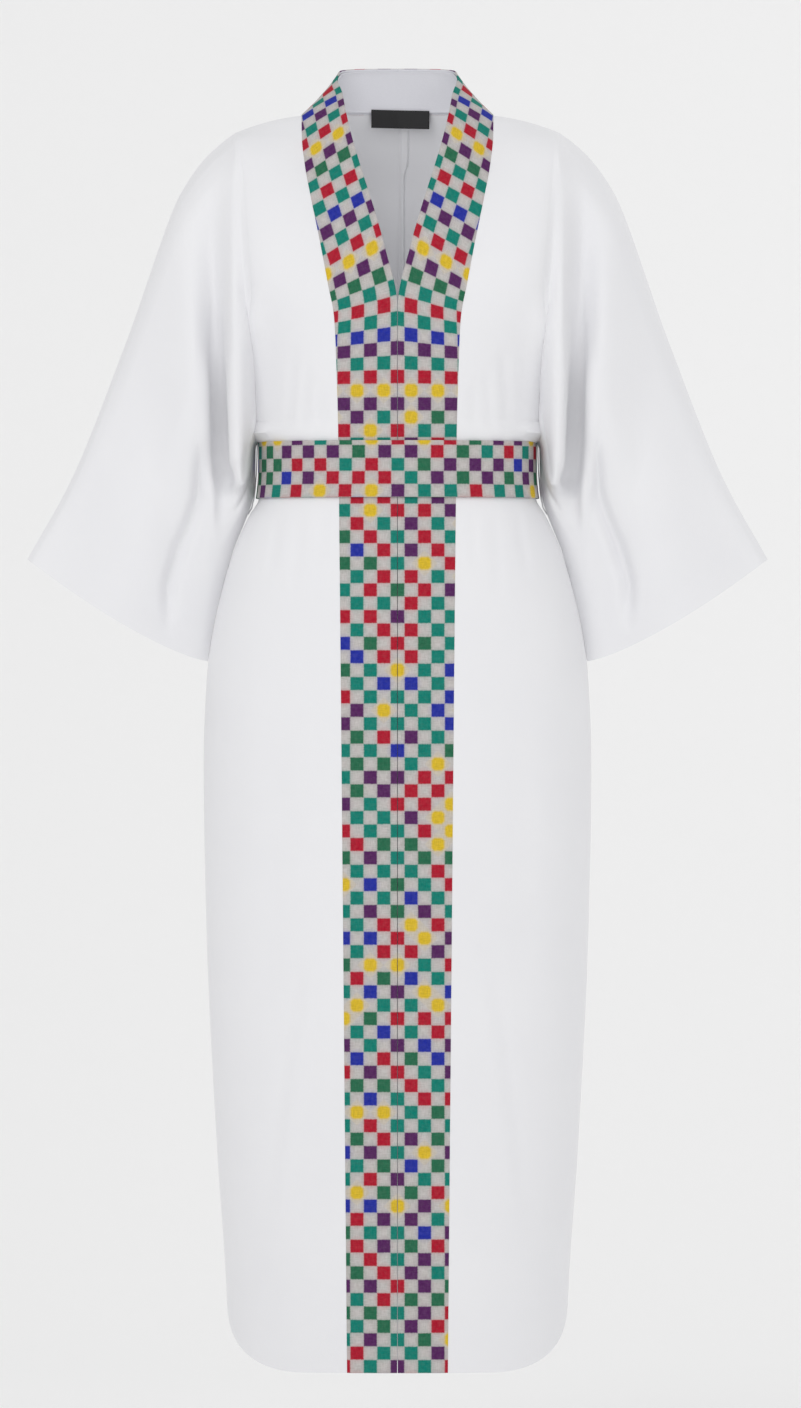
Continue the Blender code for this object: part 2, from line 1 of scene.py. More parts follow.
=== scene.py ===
"""Looks of an ankle-length open-front robe in white crepe, with a check band and a check belt.

The robe keeps the hollow form that it has when worn. Its fine cloth lies on the form of the solids in
the frame, with the folds of the sleeves, the drape of the skirt and the gathers round the belt. The
front faces -Y, right and left are the wearer's, and the origin lies between the shoulders.

A point of the cloth is given as out, fore and level: its distance from the middle plane, its distance
in front of the shoulder line, and its height above the hem. Sizes are in metres.
"""

from __future__ import annotations

import logging
import math
from dataclasses import dataclass, field
from enum import Enum
from typing import Any, NamedTuple, Sequence

import bpy
import numpy as np
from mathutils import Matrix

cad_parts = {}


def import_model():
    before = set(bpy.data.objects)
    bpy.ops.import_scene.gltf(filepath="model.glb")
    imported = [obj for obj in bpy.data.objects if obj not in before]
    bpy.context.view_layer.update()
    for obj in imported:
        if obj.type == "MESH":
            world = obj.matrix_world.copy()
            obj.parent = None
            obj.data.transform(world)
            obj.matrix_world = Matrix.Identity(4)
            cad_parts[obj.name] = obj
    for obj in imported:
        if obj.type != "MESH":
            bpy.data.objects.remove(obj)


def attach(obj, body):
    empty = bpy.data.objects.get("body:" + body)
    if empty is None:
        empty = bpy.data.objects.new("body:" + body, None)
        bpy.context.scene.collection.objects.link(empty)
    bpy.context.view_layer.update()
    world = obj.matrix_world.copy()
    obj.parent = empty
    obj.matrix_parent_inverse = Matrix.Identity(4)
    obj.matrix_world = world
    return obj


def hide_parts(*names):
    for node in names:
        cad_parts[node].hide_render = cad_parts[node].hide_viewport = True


LOG = logging.getLogger("robe")
SHOULDER_LEVEL = 1.320
FINE_MERGE = 1e-6
SEAM_MERGE = 2e-5
SOFT_NOISE = {"Detail": 2.0, "Roughness": 0.55}
EASED = {"interpolation_type": "SMOOTHSTEP"}


class Side(Enum):
    """The wearer's two sides, with the sign of X on each."""

    RIGHT = -1
    LEFT = 1

    @property
    def word(self) -> str:
        """The side's name in piece names."""
        return self.name.lower()


BOTH_BANDS = [f"check_band_{side.word}" for side in Side]


class Held(Enum):
    DRAPED = "draped"
    STRETCHED = "stretched"


class BodyRow(NamedTuple):
    """Half width at the side seam, and depth in front and behind, at one level."""

    level: float
    half_width: float
    front: float
    back: float


class LevelRow(NamedTuple):
    """One size of a line of cloth, such as its width or its distance out or behind, at one level."""

    level: float
    size: float


class NeckRow(NamedTuple):
    """Seam edge and free edge of the neck band at one place."""

    seam_out: float
    seam_level: float
    seam_fore: float
    free_out: float
    free_level: float
    free_fore: float


class SleeveEdge(NamedTuple):
    """Overarm fold and under seam at one line round the sleeve."""

    overarm_out: float
    overarm_level: float
    under_out: float
    under_level: float
    under_fore: float


class SleeveForm(NamedTuple):
    """How one line round half of a sleeve bends and stands out."""

    knee_out: float
    knee_level: float
    pull: float
    upper: float
    middle: float
    lower: float
    edge: float


class LightBox(NamedTuple):
    """A square soft box, with its place, its width and its power in watts."""

    name: str
    place: tuple[float, float, float]
    width: float
    power: float


class Fold(NamedTuple):
    """A soft trough or ridge laid along a short path on the cloth, seen from in front or behind.

    The height is above the cloth, so a trough's is negative. The two widths are those of its inner
    and its outer slope, and the path is a row of (out, level) places. The fold fades over a share of
    its length at its start and its end, and a higher power gives it a flatter floor or crest.
    """

    height: float
    inner: float
    outer: float
    path: tuple[tuple[float, float], ...]
    start: float = 0.35
    end: float = 0.35
    power: float = 2.0


def through_rows(knots: Any, rows: Any, at: Any) -> np.ndarray:
    """Read the smooth curve through a table's rows, which turns only where the table turns.

    Args:
        knots: Where each row lies.
        rows: The table's rows.
        at: The places to read.

    Returns:
        One row of numbers for each place.
    """
    knots = np.asarray(knots, float)
    rows = np.asarray(rows, float)
    at = np.atleast_1d(np.asarray(at, float))
    step = np.diff(knots).reshape((-1,) + (1,) * (rows.ndim - 1))
    slope = np.diff(rows, axis=0) / step
    tangent = np.zeros_like(rows)
    tangent[0], tangent[-1] = slope[0], slope[-1]
    before, after = slope[:-1], slope[1:]
    same_way = before * after > 0
    first = 2 * step[1:] + step[:-1]
    second = step[1:] + 2 * step[:-1]
    mean = (first + second) / (
        first / np.where(same_way, before, 1.0) + second / np.where(same_way, after, 1.0)
    )
    tangent[1:-1] = np.where(same_way, mean, 0.0)
    index = np.clip(np.searchsorted(knots, at, side="right") - 1, 0, len(knots) - 2)
    width = step[index]
    s = ((at - knots[index]) / np.diff(knots)[index]).reshape((-1,) + (1,) * (rows.ndim - 1))
    return (
        (1 + 2 * s) * (1 - s) ** 2 * rows[index]
        + s * (1 - s) ** 2 * width * tangent[index]
        + s**2 * (3 - 2 * s) * rows[index + 1]
        + s**2 * (s - 1) * width * tangent[index + 1]
    )


def run_lengths(points: np.ndarray) -> np.ndarray:
    """Measure the distance along a line of points, from its first one.

    Args:
        points: The line's points.

    Returns:
        The distance at each point.
    """
    steps = np.linalg.norm(np.diff(points, axis=0), axis=1)
    return np.concatenate([[0.0], np.cumsum(steps)])


def length_of(points: np.ndarray) -> float:
    """Measure the length of a line of points."""
    return float(run_lengths(points)[-1])


def read_at(points: np.ndarray, shares: Any) -> np.ndarray:
    """Read a line of points again at shares of its length.

    Args:
        points: The line's points.
        shares: Shares of the line's length, from 0 to 1.

    Returns:
        One point for each share.
    """
    along = run_lengths(points)
    stops = np.asarray(shares) * along[-1]
    return np.stack([np.interp(stops, along, points[:, axis]) for axis in range(3)], axis=1)


def smooth(value: Any, low: float, high: float) -> Any:
    """Ease from 0 at low to 1 at high.

    Args:
        value: A number or an array of them.
        low: Where the step starts.
        high: Where the step ends, which may lie under low.

    Returns:
        The eased share, from 0 to 1.
    """
    share = np.clip((value - low) / (high - low), 0.0, 1.0)
    return share * share * (3 - 2 * share)


@dataclass
class RobeForm:
    """The robe's form, as smooth grids of out, fore and level, on the same tables as its solids."""

    underarm_level: float = 1.003
    hem_blend_level: float = 0.300
    hem_rise: float = 0.075
    hem_run: float = 0.140
    hem_curve: float = 2.3
    band_crown: float = 0.002
    crown_lean: float = 0.2
    front_edge: float = 0.00028
    shoulder_rise: float = 0.0025
    back_top_fade: int = 3
    roundness: float = 2.3
    arm_evenness: float = 0.5
    first_stop_share: float = 0.55
    fine_steps: int = 120
    front_columns: int = 48
    neck_columns: int = 36
    band_columns: int = 14
    hem_rows: int = 60
    skirt_rows: int = 132
    arm_rows: int = 104
    sleeve_columns: int = 100
    body: tuple[BodyRow, ...] = (
        BodyRow(0.000, 0.1785, 0.1120, 0.1130),
        BodyRow(0.080, 0.1810, 0.1135, 0.1150),
        BodyRow(0.230, 0.1910, 0.1180, 0.1190),
        BodyRow(0.470, 0.2025, 0.1225, 0.1240),
        BodyRow(0.640, 0.2055, 0.1240, 0.1280),
        BodyRow(0.745, 0.2010, 0.1220, 0.1270),
        BodyRow(0.800, 0.1915, 0.1190, 0.1230),
        BodyRow(0.860, 0.1760, 0.1130, 0.1160),
        BodyRow(0.905, 0.1565, 0.1070, 0.1080),
        BodyRow(0.9225, 0.1465, 0.1045, 0.1040),
        BodyRow(0.955, 0.1440, 0.1025, 0.1010),
        BodyRow(0.983, 0.1440, 0.1030, 0.1012),
        BodyRow(0.992, 0.1497, 0.1042, 0.1022),
        BodyRow(1.003, 0.1465, 0.1045, 0.1025),
    )
    band_widths: tuple[LevelRow, ...] = (
        LevelRow(0.000, 0.0530),
        LevelRow(0.450, 0.0570),
        LevelRow(0.9225, 0.0615),
        LevelRow(1.003, 0.0625),
    )
    centre_back: tuple[LevelRow, ...] = (
        LevelRow(1.003, 0.1025),
        LevelRow(1.080, 0.1080),
        LevelRow(1.180, 0.1140),
        LevelRow(1.250, 0.1100),
        LevelRow(1.300, 0.0930),
        LevelRow(1.334, 0.0740),
    )
    neck: dict[str, NeckRow] = field(
        default_factory=lambda: {
            "chest": NeckRow(0.0640, 1.0550, 0.1035, 0.00028, 1.0570, 0.1095),
            "v_point": NeckRow(0.0665, 1.1100, 0.1060, 0.00028, 1.1240, 0.1110),
            "low_v": NeckRow(0.0735, 1.1490, 0.1030, 0.0125, 1.1830, 0.1040),
            "mid_v": NeckRow(0.0820, 1.1940, 0.0930, 0.0250, 1.2280, 0.0920),
            "high_v": NeckRow(0.0910, 1.2380, 0.0770, 0.0375, 1.2680, 0.0740),
            "collar": NeckRow(0.0975, 1.2730, 0.0560, 0.0485, 1.3060, 0.0530),
            "side_neck": NeckRow(0.1010, 1.3040, 0.0330, 0.0550, 1.3340, 0.0300),
            "neck_point": NeckRow(0.1015, 1.3290, 0.0020, 0.0590, 1.3550, 0.0000),
            "behind_shoulder": NeckRow(0.0970, 1.3330, -0.0280, 0.0640, 1.3695, -0.0220),
            "back_corner": NeckRow(0.0780, 1.3340, -0.0540, 0.0605, 1.3795, -0.0450),
            "back_quarter": NeckRow(0.0400, 1.3340, -0.0700, 0.0380, 1.3825, -0.0600),
            "centre_back": NeckRow(0.0000, 1.3340, -0.0740, 0.0000, 1.3830, -0.0640),
        }
    )
    sleeve_edges: dict[str, SleeveEdge] = field(
        default_factory=lambda: {
            "armhole": SleeveEdge(0.1680, 1.3125, 0.1465, 1.003, 0.0000),
            "armpit": SleeveEdge(0.1715, 1.3110, 0.1500, 0.9970, -0.0020),
            "ridge_1": SleeveEdge(0.1760, 1.3080, 0.1510, 0.9820, 0.0000),
            "recess_b": SleeveEdge(0.2000, 1.2880, 0.1518, 0.9350, 0.0060),
            "ridge_2": SleeveEdge(0.2280, 1.2500, 0.1761, 0.8640, 0.0060),
            "elbow": SleeveEdge(0.2900, 1.0830, 0.1907, 0.8100, 0.0060),
            "forearm": SleeveEdge(0.3450, 0.9450, 0.1973, 0.7780, 0.0060),
            "cuff": SleeveEdge(0.3930, 0.8580, 0.2019, 0.7500, 0.0060),
        }
    )
    sleeve_steps: tuple[int, ...] = (1, 1, 2, 2, 3, 2, 2)
    sleeve_front: dict[str, SleeveForm] = field(
        default_factory=lambda: {
            "armhole": SleeveForm(0.1460, 1.0600, 1.0, 0.0520, 0.0840, 0.0300, 0.0120),
            "armpit": SleeveForm(0.1540, 1.0000, 1.2, 0.0530, 0.0780, 0.0360, 0.0130),
            "ridge_1": SleeveForm(0.1680, 0.9000, 3.5, 0.0560, 0.0860, 0.0640, 0.0260),
            "recess_b": SleeveForm(0.1890, 0.8800, 4.0, 0.0460, 0.0480, 0.0210, 0.0190),
            "ridge_2": SleeveForm(0.2020, 0.8500, 3.5, 0.0480, 0.0700, 0.0260, 0.0180),
            "elbow": SleeveForm(0.2450, 0.8500, 1.5, 0.0300, 0.0430, 0.0210, 0.0140),
            "forearm": SleeveForm(0.2550, 0.8150, 1.0, 0.0200, 0.0410, 0.0180, 0.0120),
            "cuff": SleeveForm(0.2650, 0.7600, 0.8, 0.0140, 0.0360, 0.0150, 0.0100),
        }
    )
    sleeve_back: dict[str, SleeveForm] = field(
        default_factory=lambda: {
            "armhole": SleeveForm(0.1460, 1.0600, 1.0, 0.0500, 0.0850, 0.0340, 0.0120),
            "armpit": SleeveForm(0.1510, 1.0500, 1.0, 0.0510, 0.0850, 0.0380, 0.0160),
            "ridge_1": SleeveForm(0.1590, 1.0200, 1.6, 0.0540, 0.0880, 0.0520, 0.0280),
            "recess_b": SleeveForm(0.1740, 0.9700, 2.0, 0.0470, 0.0600, 0.0420, 0.0340),
            "ridge_2": SleeveForm(0.1980, 0.8950, 2.5, 0.0490, 0.0740, 0.0660, 0.0460),
            "elbow": SleeveForm(0.2450, 0.8600, 1.5, 0.0320, 0.0600, 0.0680, 0.0480),
            "forearm": SleeveForm(0.2550, 0.8200, 1.0, 0.0240, 0.0530, 0.0620, 0.0460),
            "cuff": SleeveForm(0.2650, 0.7650, 0.8, 0.0160, 0.0460, 0.0570, 0.0440),
        }
    )
    depth_stops: tuple[float, ...] = (0.0, 0.03, 0.12, 0.50, 0.86, 0.955, 1.0)

    def size_at(self, level: Any) -> np.ndarray:
        """Read half width, front depth and back depth at levels.

        Args:
            level: One level or an array of them.

        Returns:
            One row of three sizes for each level.
        """
        table = np.array(self.body)
        return through_rows(table[:, 0], table[:, 1:], level)

    def width_at(self, level: float) -> float:
        """Read the width of the band up the front edge at one level."""
        table = np.array(self.band_widths)
        return float(through_rows(table[:, 0], table[:, 1], level)[0])

    def section(self, level: float, columns: int, front: bool) -> np.ndarray:
        """Lay out one front or back section in even turns.

        Args:
            level: Its height above the hem.
            columns: How many steps it has.
            front: Whether it is a front section.

        Returns:
            Its points, from the band or centre back to the side seam.
        """
        half_width, front_depth, back_depth = self.size_at(level)[0]
        depth = front_depth if front else -back_depth
        inner_out = self.width_at(level) if front else 0.0
        start = math.asin((inner_out / half_width) ** (self.roundness / 2))
        turn = np.linspace(start, math.pi / 2, columns + 1)
        out = half_width * np.sin(turn) ** (2 / self.roundness)
        fore = depth * np.clip(np.cos(turn), 0, 1) ** (2 / self.roundness)
        fore[-1] = 0.0
        return np.stack([out, fore, np.full(columns + 1, level)], axis=1)

    def skirt_levels(self) -> np.ndarray:
        """Levels of the skirt's rows above the shaped hem."""
        return np.linspace(self.hem_blend_level, self.underarm_level, self.skirt_rows + 1)[1:]

    def skirt(self, columns: int, front: bool) -> np.ndarray:
        """Lay out a front or back from its shirt-tail hem to the underarm.

        Args:
            columns: How many steps it has across.
            front: Whether it is a front.

        Returns:
            A grid of points, the hem first.
        """
        along = run_lengths(self.section(self.hem_rise, columns, front))
        from_side = np.clip((along[-1] - along) / self.hem_run, 0, 1)
        hem = self.hem_rise * (1 - from_side) ** self.hem_curve
        rows = []
        for share in np.linspace(0, 1, self.hem_rows + 1):
            levels = hem + share * (self.hem_blend_level - hem)
            row = [self.section(z, columns, front)[place] for place, z in enumerate(levels)]
            rows.append(np.array(row))
        for level in self.skirt_levels():
            rows.append(self.section(level, columns, front))
        return np.array(rows)

    def front_strip(self) -> np.ndarray:
        """Lay out the band from the hem to the underarm, from the free edge to the seam.

        Returns:
            A grid of points, the hem first.
        """
        below = np.linspace(0, self.hem_blend_level, self.hem_rows + 1)
        rows = []
        for level in [*below, *self.skirt_levels()]:
            half_width, depth, _ = self.size_at(level)[0]
            out = np.linspace(self.front_edge, self.width_at(level), self.band_columns + 1)
            share = np.clip(out / half_width, 0, 1)
            fore = depth * (1 - share**self.roundness) ** (1 / self.roundness)
            rows.append(np.stack([out, fore, np.full(self.band_columns + 1, level)], axis=1))
        return np.array(rows)

    def neck_edges(self) -> tuple[np.ndarray, np.ndarray, np.ndarray]:
        """Read the band's seam and free edge above the underarm as smooth lines.

        Returns:
            The row numbers, the seam's points and the free edge's points.
        """
        strip_end = self.front_strip()[-1]
        seam, free = strip_end[-1], strip_end[0]
        first = [seam[0], seam[2], seam[1], free[0], free[2], free[1]]
        table = np.array([first, *self.neck.values()])
        knots = np.arange(len(table), dtype=float)
        dense = np.linspace(0, knots[-1], self.fine_steps * int(knots[-1]) + 1)
        lines = through_rows(knots, table, dense)
        return dense, lines[:, [0, 2, 1]], lines[:, [3, 5, 4]]

    def crowned(self, free: np.ndarray, seam: np.ndarray) -> np.ndarray:
        """Lay a line across the band, slightly crowned away from the neck.

        Args:
            free: The point on the free edge.
            seam: The point on the seam.

        Returns:
            The line's points.
        """
        middle = (free + seam) / 2
        away = np.array([middle[0] * self.crown_lean, middle[1], 0.0])
        away /= max(np.linalg.norm(away), 1e-9)
        share = np.linspace(0, 1, self.band_columns + 1)[:, None]
        return free + (seam - free) * share + away * self.band_crown * 4 * share * (1 - share)

    def neck_band(self) -> list[np.ndarray]:
        """Lay out the band above the underarm, up the front and then round the back.

        Returns:
            Two grids that meet at the neck point.
        """
        dense, seam, free = self.neck_edges()
        turn = (list(self.neck).index("neck_point") + 1) * self.fine_steps
        places = np.arange(len(dense))
        parts = []
        for first, last, count in ((0, turn, self.arm_rows), (turn, len(dense) - 1, self.neck_columns)):
            along = run_lengths(seam[first : last + 1])
            stops = np.interp(np.linspace(0, along[-1], count + 1), along, np.arange(first, last + 1))
            rows = []
            for stop in stops:
                on_seam = np.array([np.interp(stop, places, seam[:, axis]) for axis in range(3)])
                on_free = np.array([np.interp(stop, places, free[:, axis]) for axis in range(3)])
                rows.append(self.crowned(on_free, on_seam))
            parts.append(np.array(rows))
        return parts

    def sleeve_line(self, edge: SleeveEdge, form: SleeveForm, front: bool) -> np.ndarray:
        """Lay one line round half of the sleeve, from the overarm fold down to the under seam.

        Args:
            edge: Where the line starts and ends.
            form: How it bends and stands out.
            front: Whether it lies on the front half.

        Returns:
            The line's points.
        """
        facing = 1.0 if front else -1.0
        v = np.linspace(0, 1, self.fine_steps * 2 + 1)
        weights = np.stack([(1 - v) ** 2, 2 * form.pull * v * (1 - v), v**2], axis=1)
        weights /= weights.sum(axis=1)[:, None]
        corners = [
            (edge.overarm_out, edge.overarm_level),
            (form.knee_out, form.knee_level),
            (edge.under_out, edge.under_level),
        ]
        flat = weights @ np.array(corners)
        along = run_lengths(flat)
        depths = [0.0, self.first_stop_share * form.upper, form.upper, form.middle, form.lower, form.edge]
        depths = [facing * depth for depth in depths] + [edge.under_fore]
        fore = through_rows(self.depth_stops, np.array(depths), along / along[-1])
        even = np.linspace(0, 1, self.arm_rows + 1)
        waved = (1 - np.cos(math.pi * even)) / 2
        shares = self.arm_evenness * even + (1 - self.arm_evenness) * waved
        return read_at(np.stack([flat[:, 0], fore, flat[:, 1]], axis=1), shares)

    def sleeve_half(self, front: bool) -> np.ndarray:
        """Lay out the front or back half of a sleeve.

        Args:
            front: Whether it is the front half.

        Returns:
            A grid with rows from the under seam up and columns from the armhole out.
        """
        forms = self.sleeve_front if front else self.sleeve_back
        lines = [self.sleeve_line(self.sleeve_edges[name], form, front)[::-1] for name, form in forms.items()]
        knots = np.concatenate([[0], np.cumsum(self.sleeve_steps)])
        stops = np.linspace(0, knots[-1], self.sleeve_columns + 1)
        return np.swapaxes(through_rows(knots, np.array(lines), stops), 0, 1)

    def filled(
        self, bottom: np.ndarray, top: np.ndarray, inner: np.ndarray, outer: np.ndarray, top_fade: int = 1
    ) -> np.ndarray:
        """Fill the smooth surface between four edges that meet at its corners.

        Args:
            bottom: The lower edge, from inner to outer.
            top: The upper edge, from inner to outer.
            inner: The inner edge, from the bottom up.
            outer: The outer edge, from the bottom up.
            top_fade: How quickly the upper edge's bends fade below it.

        Returns:
            A grid of points, the lower edge first.
        """
        w = np.linspace(0, 1, len(inner))[:, None, None]
        t = np.linspace(0, 1, len(bottom))[None, :, None]
        across = (1 - t) * inner[:, None, :] + t * outer[:, None, :]
        bottom_bend = bottom - ((1 - t[0]) * bottom[0] + t[0] * bottom[-1])
        top_bend = top - ((1 - t[0]) * top[0] + t[0] * top[-1])
        return across + (1 - w) * bottom_bend[None] + w**top_fade * top_bend[None]

    def grids(self) -> dict[str, np.ndarray]:
        """Lay out every stretch of cloth on one side.

        Returns:
            A grid of out, fore and level for each stretch.
        """
        band_front, band_back = self.neck_band()
        sleeve_front, sleeve_back = self.sleeve_half(True), self.sleeve_half(False)
        front_skirt = self.skirt(self.front_columns, True)
        back_skirt = self.skirt(self.neck_columns + self.front_columns, False)
        neck_point, shoulder = band_front[-1, -1], sleeve_front[-1, 0]
        share = np.linspace(0, 1, self.front_columns + 1)[:, None]
        rise = np.array([0.0, 0.0, self.shoulder_rise]) * 4 * share * (1 - share)
        seam = neck_point + (shoulder - neck_point) * share + rise
        chest = self.filled(front_skirt[-1], seam, band_front[:, -1], sleeve_front[:, 0])
        table = np.array(self.centre_back)
        levels = np.linspace(table[0, 0], table[-1, 0], self.fine_steps + 1)
        aft = through_rows(table[:, 0], table[:, 1], levels)
        centre = np.stack([np.zeros_like(levels), -aft, levels], axis=1)
        centre = read_at(centre, np.linspace(0, 1, self.arm_rows + 1))
        back_top = np.concatenate([band_back[::-1, -1], seam[1:]])
        shoulders = self.filled(back_skirt[-1], back_top, centre, sleeve_back[:, 0], self.back_top_fade)
        return {
            "front": np.concatenate([front_skirt, chest[1:]]),
            "sleeve_front": sleeve_front,
            "back": np.concatenate([back_skirt, shoulders[1:]]),
            "sleeve_back": sleeve_back,
            "band": np.concatenate([self.front_strip(), band_front[1:], band_back[1:]]),
        }


def linear(code: str) -> tuple[float, float, float, float]:
    """Turn an sRGB hex value to a linear colour.

    Args:
        code: Six hex digits.

    Returns:
        The linear colour with full alpha.
    """
    shares = [int(code[place : place + 2], 16) / 255 for place in (0, 2, 4)]
    line = [c / 12.92 if c <= 0.04045 else ((c + 0.055) / 1.055) ** 2.4 for c in shares]
    return (line[0], line[1], line[2], 1.0)


def add_node(
    tree: bpy.types.NodeTree,
    kind: str,
    *values: Any,
    links: dict[Any, Any] | None = None,
    output: str = "",
    **settings: Any,
) -> bpy.types.NodeSocket:
    """Add a node with its settings and links.

    Args:
        tree: The node tree.
        kind: The node's type without its prefix, and its operation after a dot where it has one.
        *values: The socket or value for each input, in their order.
        links: The socket or value for other inputs, by name or number.
        output: The output to give, or nothing for the first one in use.
        **settings: The node's properties.

    Returns:
        The node's output.
    """
    kind, _, operation = kind.partition(".")
    node = tree.nodes.new(f"ShaderNode{kind}")
    if operation:
        node.operation = operation
    for name, value in settings.items():
        setattr(node, name, value)
    for name, source in (dict(enumerate(values)) | (links or {})).items():
        if isinstance(source, bpy.types.NodeSocket):
            tree.links.new(source, node.inputs[name])
        else:
            node.inputs[name].default_value = source
    return node.outputs[output] if output else next(socket for socket in node.outputs if socket.enabled)


class Shader:
    """A material with a Principled shader."""

    def __init__(self, name: str, roughness: float, sheen: float, specular: float = 0.35) -> None:
        """Start a material with the numbers that are the same all over it.

        Args:
            name: The material's name.
            roughness: How rough the cloth is.
            sheen: How strongly its nap catches light at the edges.
            specular: How strongly it shines.
        """
        self.made = bpy.data.materials.new(name)
        self.made.use_nodes = True
        self.tree = self.made.node_tree
        self.base = self.tree.nodes["Principled BSDF"]
        values = {"Roughness": roughness, "Metallic": 0.0, "IOR": 1.5, "Sheen Weight": sheen}
        values |= {"Sheen Roughness": 0.45, "Specular IOR Level": specular}
        for key, value in values.items():
            self.feed(key, value)

    def add(self, kind: str, *values: Any, **more: Any) -> bpy.types.NodeSocket:
        """Add a node to the material and give its output, as add_node does."""
        return add_node(self.tree, kind, *values, **more)

    def feed(self, name: str, value: Any) -> None:
        """Set or link one of the shader's inputs.

        Args:
            name: The input's name.
            value: A value, or a socket that gives one.
        """
        if isinstance(value, bpy.types.NodeSocket):
            self.tree.links.new(value, self.base.inputs[name])
        else:
            self.base.inputs[name].default_value = value


@dataclass(frozen=True)
class CrepeFinish:
    """Woven polyester crepe: a matt, softly pebbled white cloth with a faint nap of light at its edges.

    Its real pebbles are about half a millimetre across, and they are drawn twice as coarse to show.
    """

    name: str = "white_crepe"
    shade: str = "ECECEE"
    low_shade: str = "E7E7EA"
    roughness: float = 0.72
    sheen: float = 0.25
    pebble_mm: float = 1.1
    pebble_height: float = 0.00012
    rumple_mm: float = 38.0
    rumple_height: float = 0.0010
    hang: tuple[float, float, float] = (1.0, 1.0, 0.35)
    tone_turns: float = 9.0
    bump_share: float = 0.8

    def make(self) -> bpy.types.Material:
        """Build the material: crepe's twisted yarn gives fine pebbles, and its weight a soft rumple.

        Returns:
            The material.
        """
        shader = Shader(self.name, self.roughness, self.sheen)
        add = shader.add
        place = add("TexCoord", output="Object")
        pebbles = add("TexNoise", place, links={**SOFT_NOISE, "Scale": 1000 / self.pebble_mm, "Detail": 3.0})
        hung = add("VectorMath.MULTIPLY", place, self.hang)
        rumple = add("TexNoise", hung, links={**SOFT_NOISE, "Scale": 1000 / self.rumple_mm, "Detail": 1.0})
        tone = add("TexNoise", place, links={**SOFT_NOISE, "Scale": self.tone_turns})
        shades = {6: linear(self.low_shade), 7: linear(self.shade)}
        shader.feed("Base Color", add("Mix", tone, links=shades, data_type="RGBA"))
        rumpled = add("Math.MULTIPLY", rumple, self.rumple_height)
        height = add("Math.MULTIPLY_ADD", pebbles, self.pebble_height, rumpled)
        links = {"Height": height, "Distance": 1.0, "Strength": self.bump_share}
        shader.feed("Normal", add("Bump", links=links))
        return shader.made


